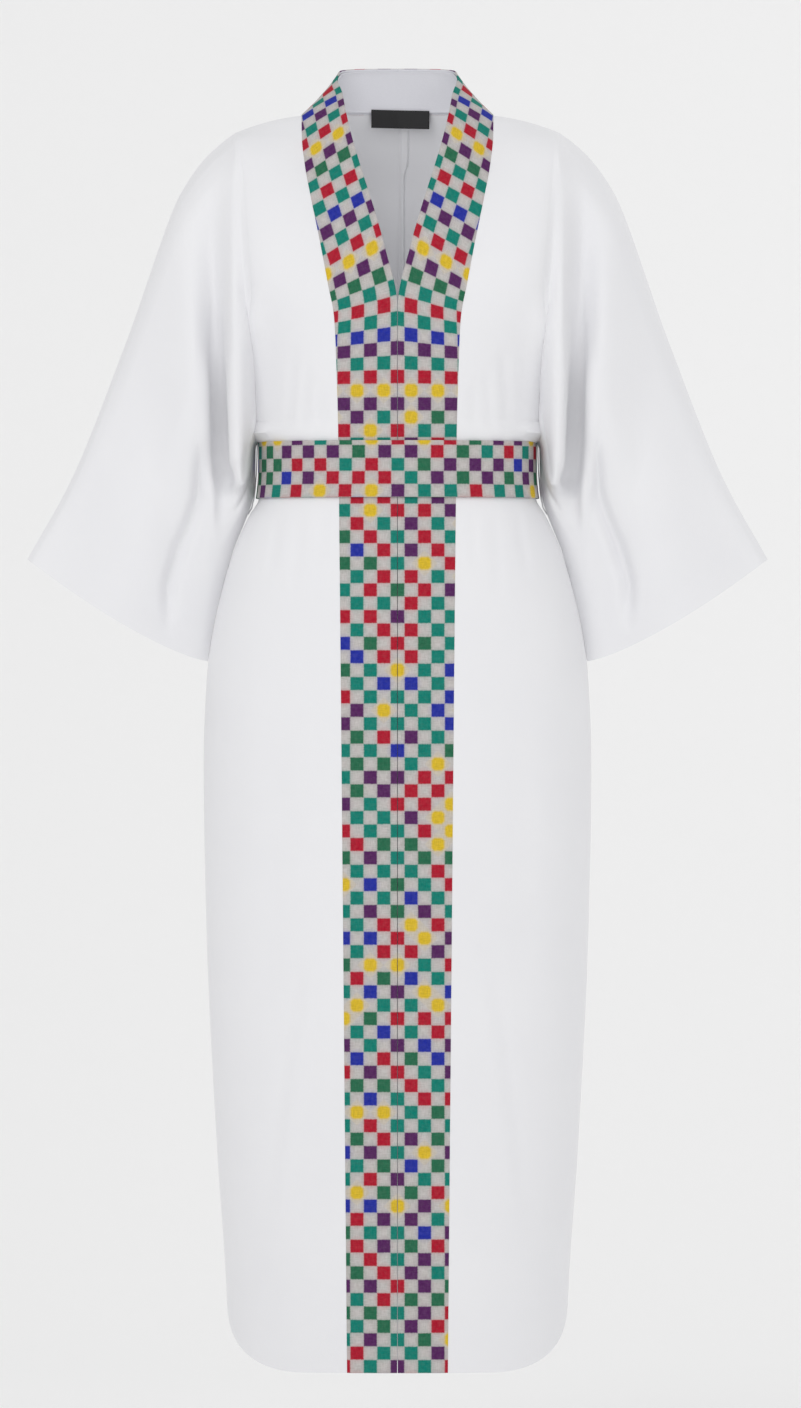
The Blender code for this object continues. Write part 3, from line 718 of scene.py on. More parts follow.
@dataclass(frozen=True)
class CheckFinish:
    """Printed slub linen: matt, with a dry hand, soft-edged squares and thick and thin yarns.

    Colour and ground squares take turns. The colours keep to slanting clusters as far along as
    cycle_from, and run in rows past it. The real yarns are about half a millimetre apart, and they are
    drawn nearly twice as coarse to show. The colour squares carry painted shade, darkened towards
    near black where their yarns are thin.
    """

    name: str
    pitch: float
    across_shift: float
    cycle_from: float
    first_shift: float = 0.0
    ground: str = "C6C2C0"
    low_ground: str = "B4AFAC"
    yellow: str = "DDBB2C"
    colours: tuple[str, ...] = (
        "007F70",
        "B0102C",
        "007F70",
        "1E2C9E",
        "55205C",
        "007F70",
        "B0102C",
        "DDBB2C",
        "55205C",
        "236B4C",
    )
    roughness: float = 0.85
    sheen: float = 0.03
    specular: float = 0.12
    cluster_slant: float = 0.93
    cluster_spread: float = 0.45
    cluster_cut: float = 3.7
    cluster_turns: float = 0.43
    cluster_steps: float = 31.0
    row_cycles: int = 400
    same_within: float = 0.3
    yarn_mm: float = 0.9
    yarn_share: float = 0.12
    yarn_height: float = 0.0003
    # Share of the painted shade on the thin yarns of the colour squares.
    thin_yarn_painted_shade: float = 0.22
    fray_mm: float = 1.6
    fray_reach: float = 0.0011
    soft_edge: float = 0.055
    square_half: float = 0.49
    spot_radius: float = 0.55
    halo: float = 0.16
    halo_reach: float = 0.42
    patch_turns: float = 260.0
    wear: float = 0.03
    slub_range: tuple[float, float] = (0.35, 0.65)
    # Where the yarns are thin enough to get painted shade.
    painted_shade_range: tuple[float, float] = (0.38, 0.62)
    wear_range: tuple[float, float] = (0.2, 0.8)
    worn_shade: str = "E8E4DE"
    # Colour of the painted shade on the thin yarns.
    painted_shade_colour: str = "101012"
    bump_share: float = 0.7

    def cell_colour(self, shader: Shader, column: Any, row: Any) -> tuple[Any, Any]:
        """Chart the colour of a square by its column and row.

        Args:
            shader: The material being built.
            column: The square's column.
            row: The square's row.

        Returns:
            The colour, and 1 where the square is one of the yellow ones, which are round.
        """
        add = shader.add
        count = float(len(self.colours))
        slant = add("Math.ADD", add("Math.MULTIPLY", column, self.cluster_slant), row)
        spread = add("Math.SUBTRACT", column, add("Math.MULTIPLY", row, self.cluster_spread))
        place = add("CombineXYZ", slant, spread, self.cluster_cut)
        cluster = add("TexNoise", place, links={"Scale": self.cluster_turns, "Detail": 0.0})
        stepped = add("Math.FLOOR", add("Math.MULTIPLY", cluster, self.cluster_steps))
        picked = add("Math.WRAP", stepped, count, 0.0)
        cycled = add("Math.WRAP", add("Math.SUBTRACT", count * self.row_cycles, row), count, 0.0)
        high = add("Math.GREATER_THAN", row, self.cycle_from / self.pitch)
        low_choice = add("Math.MULTIPLY", add("Math.SUBTRACT", 1.0, high), picked)
        choice = add("Math.ADD", add("Math.MULTIPLY", high, cycled), low_choice)
        colour = add("ValToRGB", add("Math.DIVIDE", add("Math.ADD", choice, 0.5), count))
        ramp = colour.node.color_ramp
        ramp.interpolation = "CONSTANT"
        while len(ramp.elements) < len(self.colours):
            ramp.elements.new(0.5)
        for number, code in enumerate(self.colours):
            stop = ramp.elements[number]
            stop.position = number / count
            stop.color = linear(code)
        round_one = float(self.colours.index(self.yellow))
        return colour, add("Math.COMPARE", choice, round_one, self.same_within)

    def make(self) -> bpy.types.Material:
        """Build the material.

        Returns:
            The material.
        """
        shader = Shader(self.name, self.roughness, self.sheen, self.specular)
        add = shader.add
        flat = add("UVMap", uv_map="cloth")
        fray = add("TexNoise", flat, links={"Scale": 1000 / self.fray_mm, "Detail": 2.0}, output="Color")
        wander = add("VectorMath.SUBTRACT", fray, (0.5, 0.5, 0.5))
        frayed = add("VectorMath.MULTIPLY_ADD", wander, (self.fray_reach,) * 3, flat)
        shift = (self.across_shift, self.first_shift, 0.0)
        counted = add("VectorMath.MULTIPLY_ADD", frayed, (1 / self.pitch,) * 3, shift)
        parts = add("SeparateXYZ", counted).node.outputs
        column, row = (add("Math.FLOOR", parts[axis]) for axis in (0, 1))
        in_column = add("Math.SUBTRACT", add("Math.SUBTRACT", parts[0], column), 0.5)
        in_row = add("Math.SUBTRACT", add("Math.SUBTRACT", parts[1], row), 0.5)
        parity = add("Math.WRAP", add("Math.ADD", column, row), 2.0, 0.0)
        wide, tall = add("Math.ABSOLUTE", in_column), add("Math.ABSOLUTE", in_row)
        is_ground = add("Math.GREATER_THAN", parity, 0.5)
        sideways = add("Math.MULTIPLY", is_ground, add("Math.GREATER_THAN", wide, tall))
        upright = add("Math.SUBTRACT", is_ground, sideways)
        step_over = add("Math.MULTIPLY", add("Math.SIGN", in_column), sideways)
        step_up = add("Math.MULTIPLY", add("Math.SIGN", in_row), upright)
        near_column, near_row = add("Math.ADD", column, step_over), add("Math.ADD", row, step_up)
        colour, spotted = self.cell_colour(shader, near_column, near_row)
        far_across = add("Math.ABSOLUTE", add("Math.SUBTRACT", in_column, step_over))
        far_along = add("Math.ABSOLUTE", add("Math.SUBTRACT", in_row, step_up))
        square = add("Math.SUBTRACT", add("Math.MAXIMUM", far_across, far_along), self.square_half)
        reach = add("Math.ADD", add("Math.POWER", far_across, 2.0), add("Math.POWER", far_along, 2.0))
        spot = add("Math.SUBTRACT", add("Math.SQRT", reach), self.spot_radius)
        spot = add("Math.MAXIMUM", spot, square)
        rounder = add("Math.MULTIPLY", spotted, add("Math.SUBTRACT", spot, square))
        edge = add("Math.ADD", square, rounder)
        edge = add("Math.MULTIPLY", edge, add("Math.MULTIPLY_ADD", spotted, -0.5, 1.0))
        dyed = add("MapRange", edge, self.soft_edge, -self.soft_edge, **EASED)
        glow = add("Math.MULTIPLY", add("MapRange", edge, self.halo_reach, 0.0, **EASED), self.halo)
        yarns = []
        for stretch in ((self.yarn_share, 1.0, 1.0), (1.0, self.yarn_share, 1.0)):
            drawn = add("VectorMath.MULTIPLY", flat, stretch)
            yarns.append(add("TexNoise", drawn, links={**SOFT_NOISE, "Scale": 1000 / self.yarn_mm}))
        slub = add("Math.MULTIPLY", add("Math.ADD", *yarns), 0.5)
        shades = {6: linear(self.low_ground), 7: linear(self.ground)}
        ground = add("Mix", add("MapRange", slub, *self.slub_range, **EASED), links=shades, data_type="RGBA")
        ground = add("Mix", glow, links={6: ground, 7: colour}, data_type="RGBA")
        patch = add("TexNoise", flat, links={**SOFT_NOISE, "Scale": self.patch_turns})
        share = add("Math.MULTIPLY", add("MapRange", patch, *self.wear_range, **EASED), self.wear)
        worn_and_painted_shade = add("Mix", share, links={6: colour, 7: linear(self.worn_shade)}, data_type="RGBA")
        # Painted shade: where the yarns are thin, the colour squares are darkened towards near black, as
        # shade in the hollows of the weave.
        thin = add("Math.SUBTRACT", 1.0, add("MapRange", slub, *self.painted_shade_range, **EASED))
        shade = add("Math.MULTIPLY", thin, self.thin_yarn_painted_shade)
        worn_and_painted_shade = add("Mix", shade, links={6: worn_and_painted_shade, 7: linear(self.painted_shade_colour)}, data_type="RGBA")
        shader.feed("Base Color", add("Mix", dyed, links={6: ground, 7: worn_and_painted_shade}, data_type="RGBA"))
        height = add("Math.MULTIPLY", slub, self.yarn_height)
        links = {"Height": height, "Distance": 1.0, "Strength": self.bump_share}
        shader.feed("Normal", add("Bump", links=links))
        return shader.made


@dataclass(frozen=True)
class WovenFinish:
    """A plain woven cloth or tape, with fine bumped cross ribs, painted lighter on their crests as painted
    highlight and darker between them as painted shade.
    """

    name: str
    shade: str
    low_shade: str
    roughness: float
    sheen: float
    rib_mm: float
    rib_stretch: tuple[float, float, float] = (0.25, 1.0, 1.0)
    rib_height: float = 0.0002
    bump_share: float = 0.6

    def make(self) -> bpy.types.Material:
        """Build the material.

        Returns:
            The material.
        """
        shader = Shader(self.name, self.roughness, self.sheen)
        add = shader.add
        place = add("VectorMath.MULTIPLY", add("TexCoord", output="Object"), self.rib_stretch)
        ribs = add("TexNoise", place, links={**SOFT_NOISE, "Scale": 1000 / self.rib_mm})
        # Painted highlight and shade: the colour follows the ribs' bump, lighter on their crests and darker
        # between them.
        shades = {6: linear(self.low_shade), 7: linear(self.shade)}
        shader.feed("Base Color", add("Mix", ribs, links=shades, data_type="RGBA"))
        height = add("Math.MULTIPLY", ribs, self.rib_height)
        links = {"Height": height, "Distance": 1.0, "Strength": self.bump_share}
        shader.feed("Normal", add("Bump", links=links))
        return shader.made


def placed(grid: np.ndarray, side: Side) -> np.ndarray:
    """Put a grid of out, fore and level in the robe's own frame, on one side of it.

    Args:
        grid: The grid of points.
        side: The wearer's side.

    Returns:
        The same grid as X, Y and Z.
    """
    return np.stack([side.value * grid[..., 0], -grid[..., 1], grid[..., 2] - SHOULDER_LEVEL], axis=-1)


def deselect() -> None:
    """Leave nothing selected."""
    for thing in bpy.context.selected_objects:
        thing.select_set(False)


def pick(thing: bpy.types.Object) -> None:
    """Select one object and make it the active one.

    Args:
        thing: The object.
    """
    deselect()
    thing.select_set(True)
    bpy.context.view_layer.objects.active = thing


def sheet_patch(name: str, grid: np.ndarray, flat: np.ndarray) -> bpy.types.Object:
    """Add a grid primitive and lay its points on the cloth.

    Args:
        name: The piece's name.
        grid: Points as X, Y and Z, with faces outward where rows go up and columns to the right.
        flat: The cloth's own map, across and along, for each point.

    Returns:
        The new object.
    """
    rows, columns = grid.shape[:2]
    deselect()
    bpy.ops.mesh.primitive_grid_add(x_subdivisions=columns - 1, y_subdivisions=rows - 1, size=2.0)
    patch = bpy.context.object
    patch.name = name
    mesh = patch.data
    count = len(mesh.vertices)
    if count != rows * columns:
        raise ValueError(f"{name}: the grid has {count} points and not {rows * columns}")
    rest = np.zeros(count * 3, np.float32)
    mesh.vertices.foreach_get("co", rest)
    rest = rest.reshape(-1, 3)
    column = np.rint((rest[:, 0] + 1) / 2 * (columns - 1)).astype(int)
    row = np.rint((rest[:, 1] + 1) / 2 * (rows - 1)).astype(int)
    mesh.vertices.foreach_set("co", grid[row, column].astype(np.float32).ravel())
    corner = np.zeros(len(mesh.loops), np.int32)
    mesh.loops.foreach_get("vertex_index", corner)
    layer = mesh.uv_layers.active or mesh.uv_layers.new()
    layer.name = "cloth"
    layer.data.foreach_set("uv", flat[row, column][corner].astype(np.float32).ravel())
    mesh.update()
    return patch


def join(name: str, patches: Sequence[bpy.types.Object], merge: float) -> bpy.types.Object:
    """Join patches into one piece and merge the points that they share.

    Args:
        name: The piece's name.
        patches: The patches.
        merge: The merge distance.

    Returns:
        The piece.
    """
    deselect()
    for patch in patches:
        patch.select_set(True)
    bpy.context.view_layer.objects.active = patches[0]
    if len(patches) > 1:
        bpy.ops.object.join()
    piece = bpy.context.view_layer.objects.active
    piece.name = name
    piece.data.name = name
    bpy.ops.object.mode_set(mode="EDIT")
    bpy.ops.mesh.select_all(action="SELECT")
    bpy.ops.mesh.remove_doubles(threshold=merge)
    bpy.ops.mesh.select_all(action="DESELECT")
    bpy.ops.object.mode_set(mode="OBJECT")
    return piece


def whole_sheet(name: str, grid: np.ndarray, flat: np.ndarray | None = None) -> bpy.types.Object:
    """Add a piece that is a single patch.

    Args:
        name: The piece's name.
        grid: Its points as X, Y and Z.
        flat: Its own map, or X and Z where there is none.

    Returns:
        The piece.
    """
    patch = sheet_patch(name, grid, grid[..., [0, 2]] if flat is None else flat)
    return join(name, [patch], FINE_MERGE)


def paint(piece: bpy.types.Object, finishes: Sequence[bpy.types.Material]) -> None:
    """Give a piece its finishes.

    Args:
        piece: The piece.
        finishes: Its materials, the outer side's first.
    """
    piece.data.materials.clear()
    for finish in finishes:
        piece.data.materials.append(finish)


def apply_modifier(piece: bpy.types.Object, name: str, kind: str, **settings: Any) -> None:
    """Add a modifier to a piece and apply it.

    Args:
        piece: The piece.
        name: The modifier's name.
        kind: The modifier's type.
        **settings: Its settings.
    """
    pick(piece)
    modifier = piece.modifiers.new(name, kind)
    for key, value in settings.items():
        setattr(modifier, key, value)
    bpy.ops.object.modifier_apply(modifier=name)


def make_wall(
    piece: bpy.types.Object,
    thickness: float,
    finishes: Sequence[bpy.types.Material],
    node: str | None = None,
    rim: float = 0.0,
) -> None:
    """Turn a sheet into a smooth wall laid half on each side of it, and tie it to the frame.

    Args:
        piece: The sheet.
        thickness: The wall's thickness.
        finishes: Its finish, and another for its inner side where that has one.
        node: The node that it replaces, if any.
        rim: How far its rim is rounded.
    """
    paint(piece, finishes)
    settings = {"offset": 0.0, "use_even_offset": False, "material_offset": len(finishes) - 1}
    apply_modifier(piece, "wall", "SOLIDIFY", thickness=thickness, **settings)
    if rim > 0:
        settings = {"width": rim, "segments": 2, "limit_method": "ANGLE"}
        apply_modifier(piece, "rim", "BEVEL", angle_limit=math.radians(60), **settings)
    pick(piece)
    bpy.ops.object.shade_smooth_by_angle(angle=math.radians(50))
    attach(piece, "root")
    if node is not None:
        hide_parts(node)


def cloth_area(grids: Sequence[np.ndarray]) -> float:
    """Measure the area of grids of points.

    Args:
        grids: The grids.

    Returns:
        Their area in square metres.
    """
    total = 0.0
    for grid in grids:
        down, across = np.diff(grid, axis=0)[:, :-1], np.diff(grid, axis=1)[:-1]
        total += float(np.linalg.norm(np.cross(down, across), axis=-1).sum())
    return total


def strip_map(grid: np.ndarray) -> np.ndarray:
    """Map a strip of cloth by its distance across and along.

    Args:
        grid: The strip, with a row for each place along it.

    Returns:
        Across and along for each point.
    """
    along = run_lengths(grid[:, grid.shape[1] // 2])
    across = np.array([run_lengths(row) for row in grid])
    return np.stack([across, np.repeat(along[:, None], grid.shape[1], axis=1)], axis=-1)


@dataclass
class Folds:
    """The robe's main creases, each laid in its own size.

    A row's places are (out, level). The same rows serve both sides, pushed about by each side's own
    small shifts, so that right and left are alike and not the same.
    """

    front: tuple[Fold, ...] = ()
    back: tuple[Fold, ...] = ()
    side_shift: float = 0.001
    side_swell: float = 0.1
    turn_step: float = 2.1
    turn_right: float = 0.7
    turn_left: float = 2.9
    past_end: float = 0.001

    def height(self, points: np.ndarray, side: Side, front: bool) -> np.ndarray:
        """Sum the folds over points of the cloth.

        Args:
            points: Points as X, Y and Z.
            side: The wearer's side.
            front: Whether the points lie on the front.

        Returns:
            How far each point moves out along the cloth's outward direction.
        """
        out = side.value * points[:, 0]
        level = points[:, 2] + SHOULDER_LEVEL
        total = np.zeros(len(points))
        for number, fold in enumerate(self.front if front else self.back):
            turn = self.turn_right if side is Side.RIGHT else self.turn_left
            wobble = math.sin(self.turn_step * number + turn)
            path = np.array(fold.path) + np.array([self.side_shift, 2 * self.side_shift]) * wobble
            steps = run_lengths(path)
            best = np.full(len(points), np.inf)
            signed = np.zeros(len(points))
            share = np.zeros(len(points))
            for place in range(len(path) - 1):
                start, way = path[place], path[place + 1] - path[place]
                long = float(np.linalg.norm(way))
                rel = np.stack([out, level], axis=1) - start
                t = np.clip(rel @ way / long**2, 0, 1)
                away = rel - t[:, None] * way
                gap = np.linalg.norm(away, axis=1)
                nearer = gap < best
                cross = way[0] * rel[:, 1] - way[1] * rel[:, 0]
                best = np.where(nearer, gap, best)
                signed = np.where(nearer, np.sign(-cross) * gap, signed)
                share = np.where(nearer, (steps[place] + t * long) / steps[-1], share)
            width = np.where(signed < 0, fold.inner, fold.outer)
            starts = smooth(share, -self.past_end, fold.start)
            ends = smooth(share, 1 + self.past_end, 1 - fold.end)
            height = fold.height * (1 + self.side_swell * wobble)
            total += height * (starts * ends) * np.exp(-((best / width) ** fold.power))
        return total


def read_points(rows: Any, key: str) -> np.ndarray:
    """Read three numbers for each point of a mesh.

    Args:
        rows: The mesh's vertices or vertex normals.
        key: What to read of each.

    Returns:
        One row for each point.
    """
    found = np.zeros(len(rows) * 3, np.float32)
    rows.foreach_get(key, found)
    return found.reshape(-1, 3).astype(float)


@dataclass
class RobeCloth:
    """The fronts and backs, each cut in one with half of a batwing sleeve.

    A fold moves its cloth along the cloth's own outward direction, leaned towards the front or back so
    that folds side by side stay clear of each other.
    """

    grids: dict[str, np.ndarray]
    folds: Folds
    finish: bpy.types.Material
    crepe: float = 0.0011
    lean: float = 0.8
    cut: tuple[float, float] = (0.40, 1.36)

    def panel(self, side: Side, front: bool) -> bpy.types.Object:
        """Build one front or back with its half sleeve.

        Args:
            side: The wearer's side.
            front: Whether it is a front.

        Returns:
            The piece.
        """
        word = "front" if front else "back"
        name = f"{word}_cloth_{side.word}"
        patches, grids = [], []
        for part in (word, f"sleeve_{word}"):
            grid = placed(self.grids[part], side)
            if (side is Side.LEFT) != front:
                grid = grid[:, ::-1]
            patches.append(sheet_patch(f"{name}_{part}", grid, grid[..., [0, 2]]))
            grids.append(grid)
        piece = join(name, patches, SEAM_MERGE)
        points = read_points(piece.data.vertices, "co")
        heights = self.folds.height(points, side, front)
        ways = read_points(piece.data.vertex_normals, "vector")
        ways += np.array([0.0, -self.lean if front else self.lean, 0.0])
        moved = points + ways / np.linalg.norm(ways, axis=1)[:, None] * heights[:, None]
        piece.data.vertices.foreach_set("co", moved.astype(np.float32).ravel())
        piece.data.update()
        make_wall(piece, self.crepe, [self.finish], f"{word}_{side.word}")
        area = cloth_area(grids)
        LOG.info("%s: %.3f square metres", name, area)
        return piece

    def build(self) -> list[bpy.types.Object]:
        """Build all four panels."""
        return [self.panel(side, front) for side in Side for front in (True, False)]


@dataclass
class CheckBand:
    """The check band up each front edge and round the neck, pieced at centre back."""

    grids: dict[str, np.ndarray]
    finish: bpy.types.Material
    lining: bpy.types.Material
    thickness: float = 0.0020
    rim: float = 0.0004
    cut_width: float = 0.0625

    def build(self) -> list[bpy.types.Object]:
        """Build both bands."""
        return [self.band(side) for side in Side]

    def band(self, side: Side) -> bpy.types.Object:
        """Build one side's band.

        Args:
            side: The wearer's side.

        Returns:
            The piece.
        """
        grid = placed(self.grids["band"], side)
        flat = strip_map(grid)
        flat[..., 0] *= side.value
        if side is Side.RIGHT:
            grid, flat = grid[:, ::-1], flat[:, ::-1]
        piece = whole_sheet(f"check_band_{side.word}", grid, flat)
        finishes = [self.finish, self.lining]
        make_wall(piece, self.thickness, finishes, f"band_{side.word}", self.rim)
        long = length_of(grid[:, grid.shape[1] // 2])
        rests_on = [f"front_cloth_{side.word}"]
        LOG.info("%s: %.3f m long", piece.name, long)
        return piece


@dataclass
class Belt:
    """The flat check belt, once round the waist and lapped over itself at centre back."""

    form: RobeForm
    finish: bpy.types.Material
    bottom: float = 0.9225
    top: float = 0.9825
    thickness: float = 0.0024
    solid: float = 0.0025
    band: float = 0.0022
    gap: float = 0.0003
    ease: float = 0.0003
    lap_angle: float = math.radians(16)
    climb_start: float = 2.2
    climb_end: float = 1.1
    steps: int = 300
    rows: int = 12
    rim: float = 0.0005

    def waist_point(self, level: float, turn: float) -> np.ndarray:
        """Find the point of the robe's section at a turn from centre front.

        Args:
            level: Its height above the hem.
            turn: The turn in radians.

        Returns:
            The point in the robe's own frame.
        """
        half_width, front_depth, back_depth = self.form.size_at(level)[0]
        across, along = math.sin(turn), math.cos(turn)
        depth = front_depth if along > 0 else back_depth
        x = math.copysign(half_width * abs(across) ** (2 / self.form.roundness), across)
        y = -math.copysign(depth * abs(along) ** (2 / self.form.roundness), along)
        return np.array([x, y, level - SHOULDER_LEVEL])

    def outward(self, level: float, turn: float) -> np.ndarray:
        """Find the level direction straight out of the robe's section at a turn.

        Args:
            level: Its height above the hem.
            turn: The turn in radians.

        Returns:
            The direction, one metre long.
        """
        near = 1e-3
        step = self.waist_point(level, turn + near) - self.waist_point(level, turn - near)
        away = np.array([-step[1], step[0], 0.0])
        away *= np.sign(away @ self.waist_point(level, turn))
        return away / np.linalg.norm(away)

    def build(self) -> bpy.types.Object:
        """Build the belt.

        Returns:
            The piece.
        """
        near = self.band / 2 + self.gap + self.solid / 2 + self.ease
        half_lap = self.lap_angle / 2
        turns = np.linspace(math.pi - half_lap, 3 * math.pi + half_lap, self.steps + 1)
        grid = []
        for level in np.linspace(self.bottom, self.top, self.rows + 1):
            row = []
            for turn in turns:
                climb = (turn - turns[-1]) / self.lap_angle + self.climb_start
                stand = near + (self.solid + self.gap) * smooth(climb, 0.0, self.climb_end)
                row.append(self.waist_point(level, turn) + self.outward(level, turn) * stand)
            grid.append(row)
        cloth = np.array(grid)
        flat = np.swapaxes(strip_map(np.swapaxes(cloth, 0, 1)), 0, 1)
        flat[..., 1] -= flat[..., 1].max() / 2
        piece = whole_sheet("check_belt", cloth, flat)
        make_wall(piece, self.thickness, [self.finish], "belt", self.rim)
        width, long = self.top - self.bottom, length_of(cloth[self.rows // 2])
        LOG.info("%s: %.3f m long", piece.name, long)
        return piece


@dataclass
class BeltLoops:
    """Narrow white loops at the side seams, through which the belt runs."""

    form: RobeForm
    finish: bpy.types.Material
    width: float = 0.005
    thickness: float = 0.0012
    rim: float = 0.0003
    rows: int = 60
    columns: int = 6
    cut_width: float = 0.010
    shown_width: float = 0.0051
    path: tuple[LevelRow, ...] = (
        LevelRow(0.9060, 0.0028),
        LevelRow(0.9120, 0.0033),
        LevelRow(0.9190, 0.0060),
        LevelRow(0.9370, 0.0062),
        LevelRow(0.9620, 0.0055),
        LevelRow(0.9835, 0.0046),
        LevelRow(0.9858, 0.0022),
        LevelRow(0.9875, 0.0022),
    )

    def build(self) -> list[bpy.types.Object]:
        """Build both loops.

        Returns:
            The two pieces.
        """
        table = np.array(self.path)
        levels = np.linspace(table[0, 0], table[-1, 0], self.rows + 1)
        stand = through_rows(table[:, 0], table[:, 1], levels)
        out = self.form.size_at(levels)[:, 0] + stand
        pieces = []
        for side in Side:
            aft = np.linspace(-self.width / 2, self.width / 2, self.columns + 1) * side.value
            rows = [[(side.value * x, y, z - SHOULDER_LEVEL) for y in aft] for x, z in zip(out, levels)]
            grid = np.array(rows)
            piece = whole_sheet(f"white_loop_{side.word}", grid, strip_map(grid))
            make_wall(piece, self.thickness, [self.finish], f"belt_loop_{side.word}", self.rim)
            long = length_of(grid[:, self.columns // 2])
            pieces.append(piece)
        return pieces


@dataclass
class NeckInside:
    """What shows inside the neck: a plain facing, a bare woven label and the centre-back seam."""

    form: RobeForm
    grids: dict[str, np.ndarray]
    facing_finish: bpy.types.Material
    label_finish: bpy.types.Material
    crepe_finish: bpy.types.Material
    band: float = 0.0022
    gap: float = 0.0003
    facing: float = 0.0010
    facing_cut: float = 0.055
    inset: float = 0.05
    tape: float = 0.0006
    ease: float = 0.0006
    label_width: float = 0.062
    label_centre: float = 0.003
    label_bottom: float = 1.3195
    label_top: float = 1.3390
    label_tilt: float = 0.024
    label_rim: float = 0.00015
    label_rows: int = 10
    label_columns: int = 30
    seam_lift: float = 0.0011
    seam_rise: float = 0.0026
    seam_cloth: float = 0.0006
    seam_slopes: tuple[float, float] = (0.0045, 0.0022)
    seam_start: float = 0.0010
    seam_cut: float = 0.0100
    seam_upper_edge: float = 0.0122
    seam_lower_edge: float = 0.0080
    seam_jog: tuple[float, float] = (1.268, 1.286)
    seam_levels: tuple[float, float] = (1.010, 1.326)
    seam_rows: int = 120
    seam_columns: int = 24

    def build_facing(self) -> bpy.types.Object:
        """Build the facing, from one neck point round to the other.

        Returns:
            The piece.
        """
        rows = self.form.neck_columns + 1
        stretch = self.grids["band"][-rows - 1 :]
        halves = []
        for side in Side:
            band = placed(stretch, side)
            along, across = np.gradient(band, axis=0), np.gradient(band, axis=1)
            outward = np.cross(along, across)
            outward *= np.sign((outward * (band * [1, 1, 0])).sum(axis=-1))[..., None]
            outward /= np.linalg.norm(outward, axis=-1)[..., None]
            outward[-1, :, 0] = 0.0
            inner = band - outward * (self.band / 2 + 3 * self.gap + self.facing / 2)
            inner[-1, :, 0] = 0.0
            over = inner[:, -1] - inner[:, 0]
            inner[:, 0] += over * self.inset
            inner[:, -1] -= over * self.inset
            halves.append(inner)
        whole = np.concatenate([halves[0], halves[1][::-1][1:]])
        grid = np.swapaxes(whole, 0, 1)[::-1]
        piece = whole_sheet("plain_neck_facing", grid)
        self.face_out(piece)
        make_wall(piece, self.facing, [self.facing_finish], "neck_facing")
        flat = (self.facing_cut, length_of(grid[grid.shape[0] // 2]))
        return piece

    def build_label(self) -> bpy.types.Object:
        """Build the label, hung from the neck seam.

        Returns:
            The piece.
        """
        _, seam, _ = self.form.neck_edges()
        turn = (list(self.form.neck).index("neck_point") + 1) * self.form.fine_steps
        round_back = seam[turn:][::-1]
        stand = self.band / 2 + self.facing + 7 * self.gap + self.tape / 2 + self.ease
        half = self.label_width / 2
        out = np.linspace(self.label_centre - half, self.label_centre + half, self.label_columns + 1)
        aft = np.interp(np.abs(out), round_back[:, 0], -round_back[:, 1])
        rows = []
        for level in np.linspace(self.label_bottom, self.label_top, self.label_rows + 1):
            height = level - SHOULDER_LEVEL - self.label_tilt * out
            rows.append(np.stack([out, aft - stand, height], axis=1))
        piece = whole_sheet("bare_label", np.array(rows))
        make_wall(piece, self.tape, [self.label_finish], "neck_label", self.label_rim)
        return piece

    def build_seam(self) -> bpy.types.Object:
        """Build the centre-back seam's allowance, pressed to the wearer's left inside the back.

        Returns:
            The piece.
        """
        back = self.grids["back"]
        low, high = self.seam_levels
        middle = back[:, 0, 2]
        rows = []
        for level in np.linspace(low, high, self.seam_rows + 1):
            place = float(np.interp(level, middle, np.arange(len(middle))))
            first, share = int(place), place - int(place)
            line = back[first] * (1 - share) + back[min(first + 1, len(back) - 1)] * share
            turned = smooth(level, *self.seam_jog)
            edge = self.seam_lower_edge + (self.seam_upper_edge - self.seam_lower_edge) * turned
            out = np.linspace(self.seam_start, edge, self.seam_columns + 1)
            rise = smooth(out, self.seam_start, self.seam_start + self.seam_slopes[0])
            rise = rise * smooth(out, edge, edge - self.seam_slopes[1])
            fore = np.interp(out, line[:, 0], line[:, 1]) + self.seam_lift + self.seam_rise * rise
            rows.append(np.stack([out, fore, np.interp(out, line[:, 0], line[:, 2])], axis=1))
        piece = whole_sheet("centre_back_seam", placed(np.array(rows), Side.LEFT)[:, ::-1])
        self.face_out(piece)
        make_wall(piece, self.seam_cloth, [self.crepe_finish])
        return piece

    def face_out(self, piece: bpy.types.Object) -> None:
        """Turn a sheet's faces away from the middle of the neck.

        Args:
            piece: The sheet.
        """
        away = read_points(piece.data.vertices, "co") * [1, 1, 0]
        if (read_points(piece.data.vertex_normals, "vector") * away).sum() < 0:
            pick(piece)
            bpy.ops.object.mode_set(mode="EDIT")
            bpy.ops.mesh.select_all(action="SELECT")
            bpy.ops.mesh.flip_normals()
            bpy.ops.object.mode_set(mode="OBJECT")

    def build(self) -> list[bpy.types.Object]:
        """Build the facing, the label and the centre-back seam."""
        return [self.build_facing(), self.build_label(), self.build_seam()]


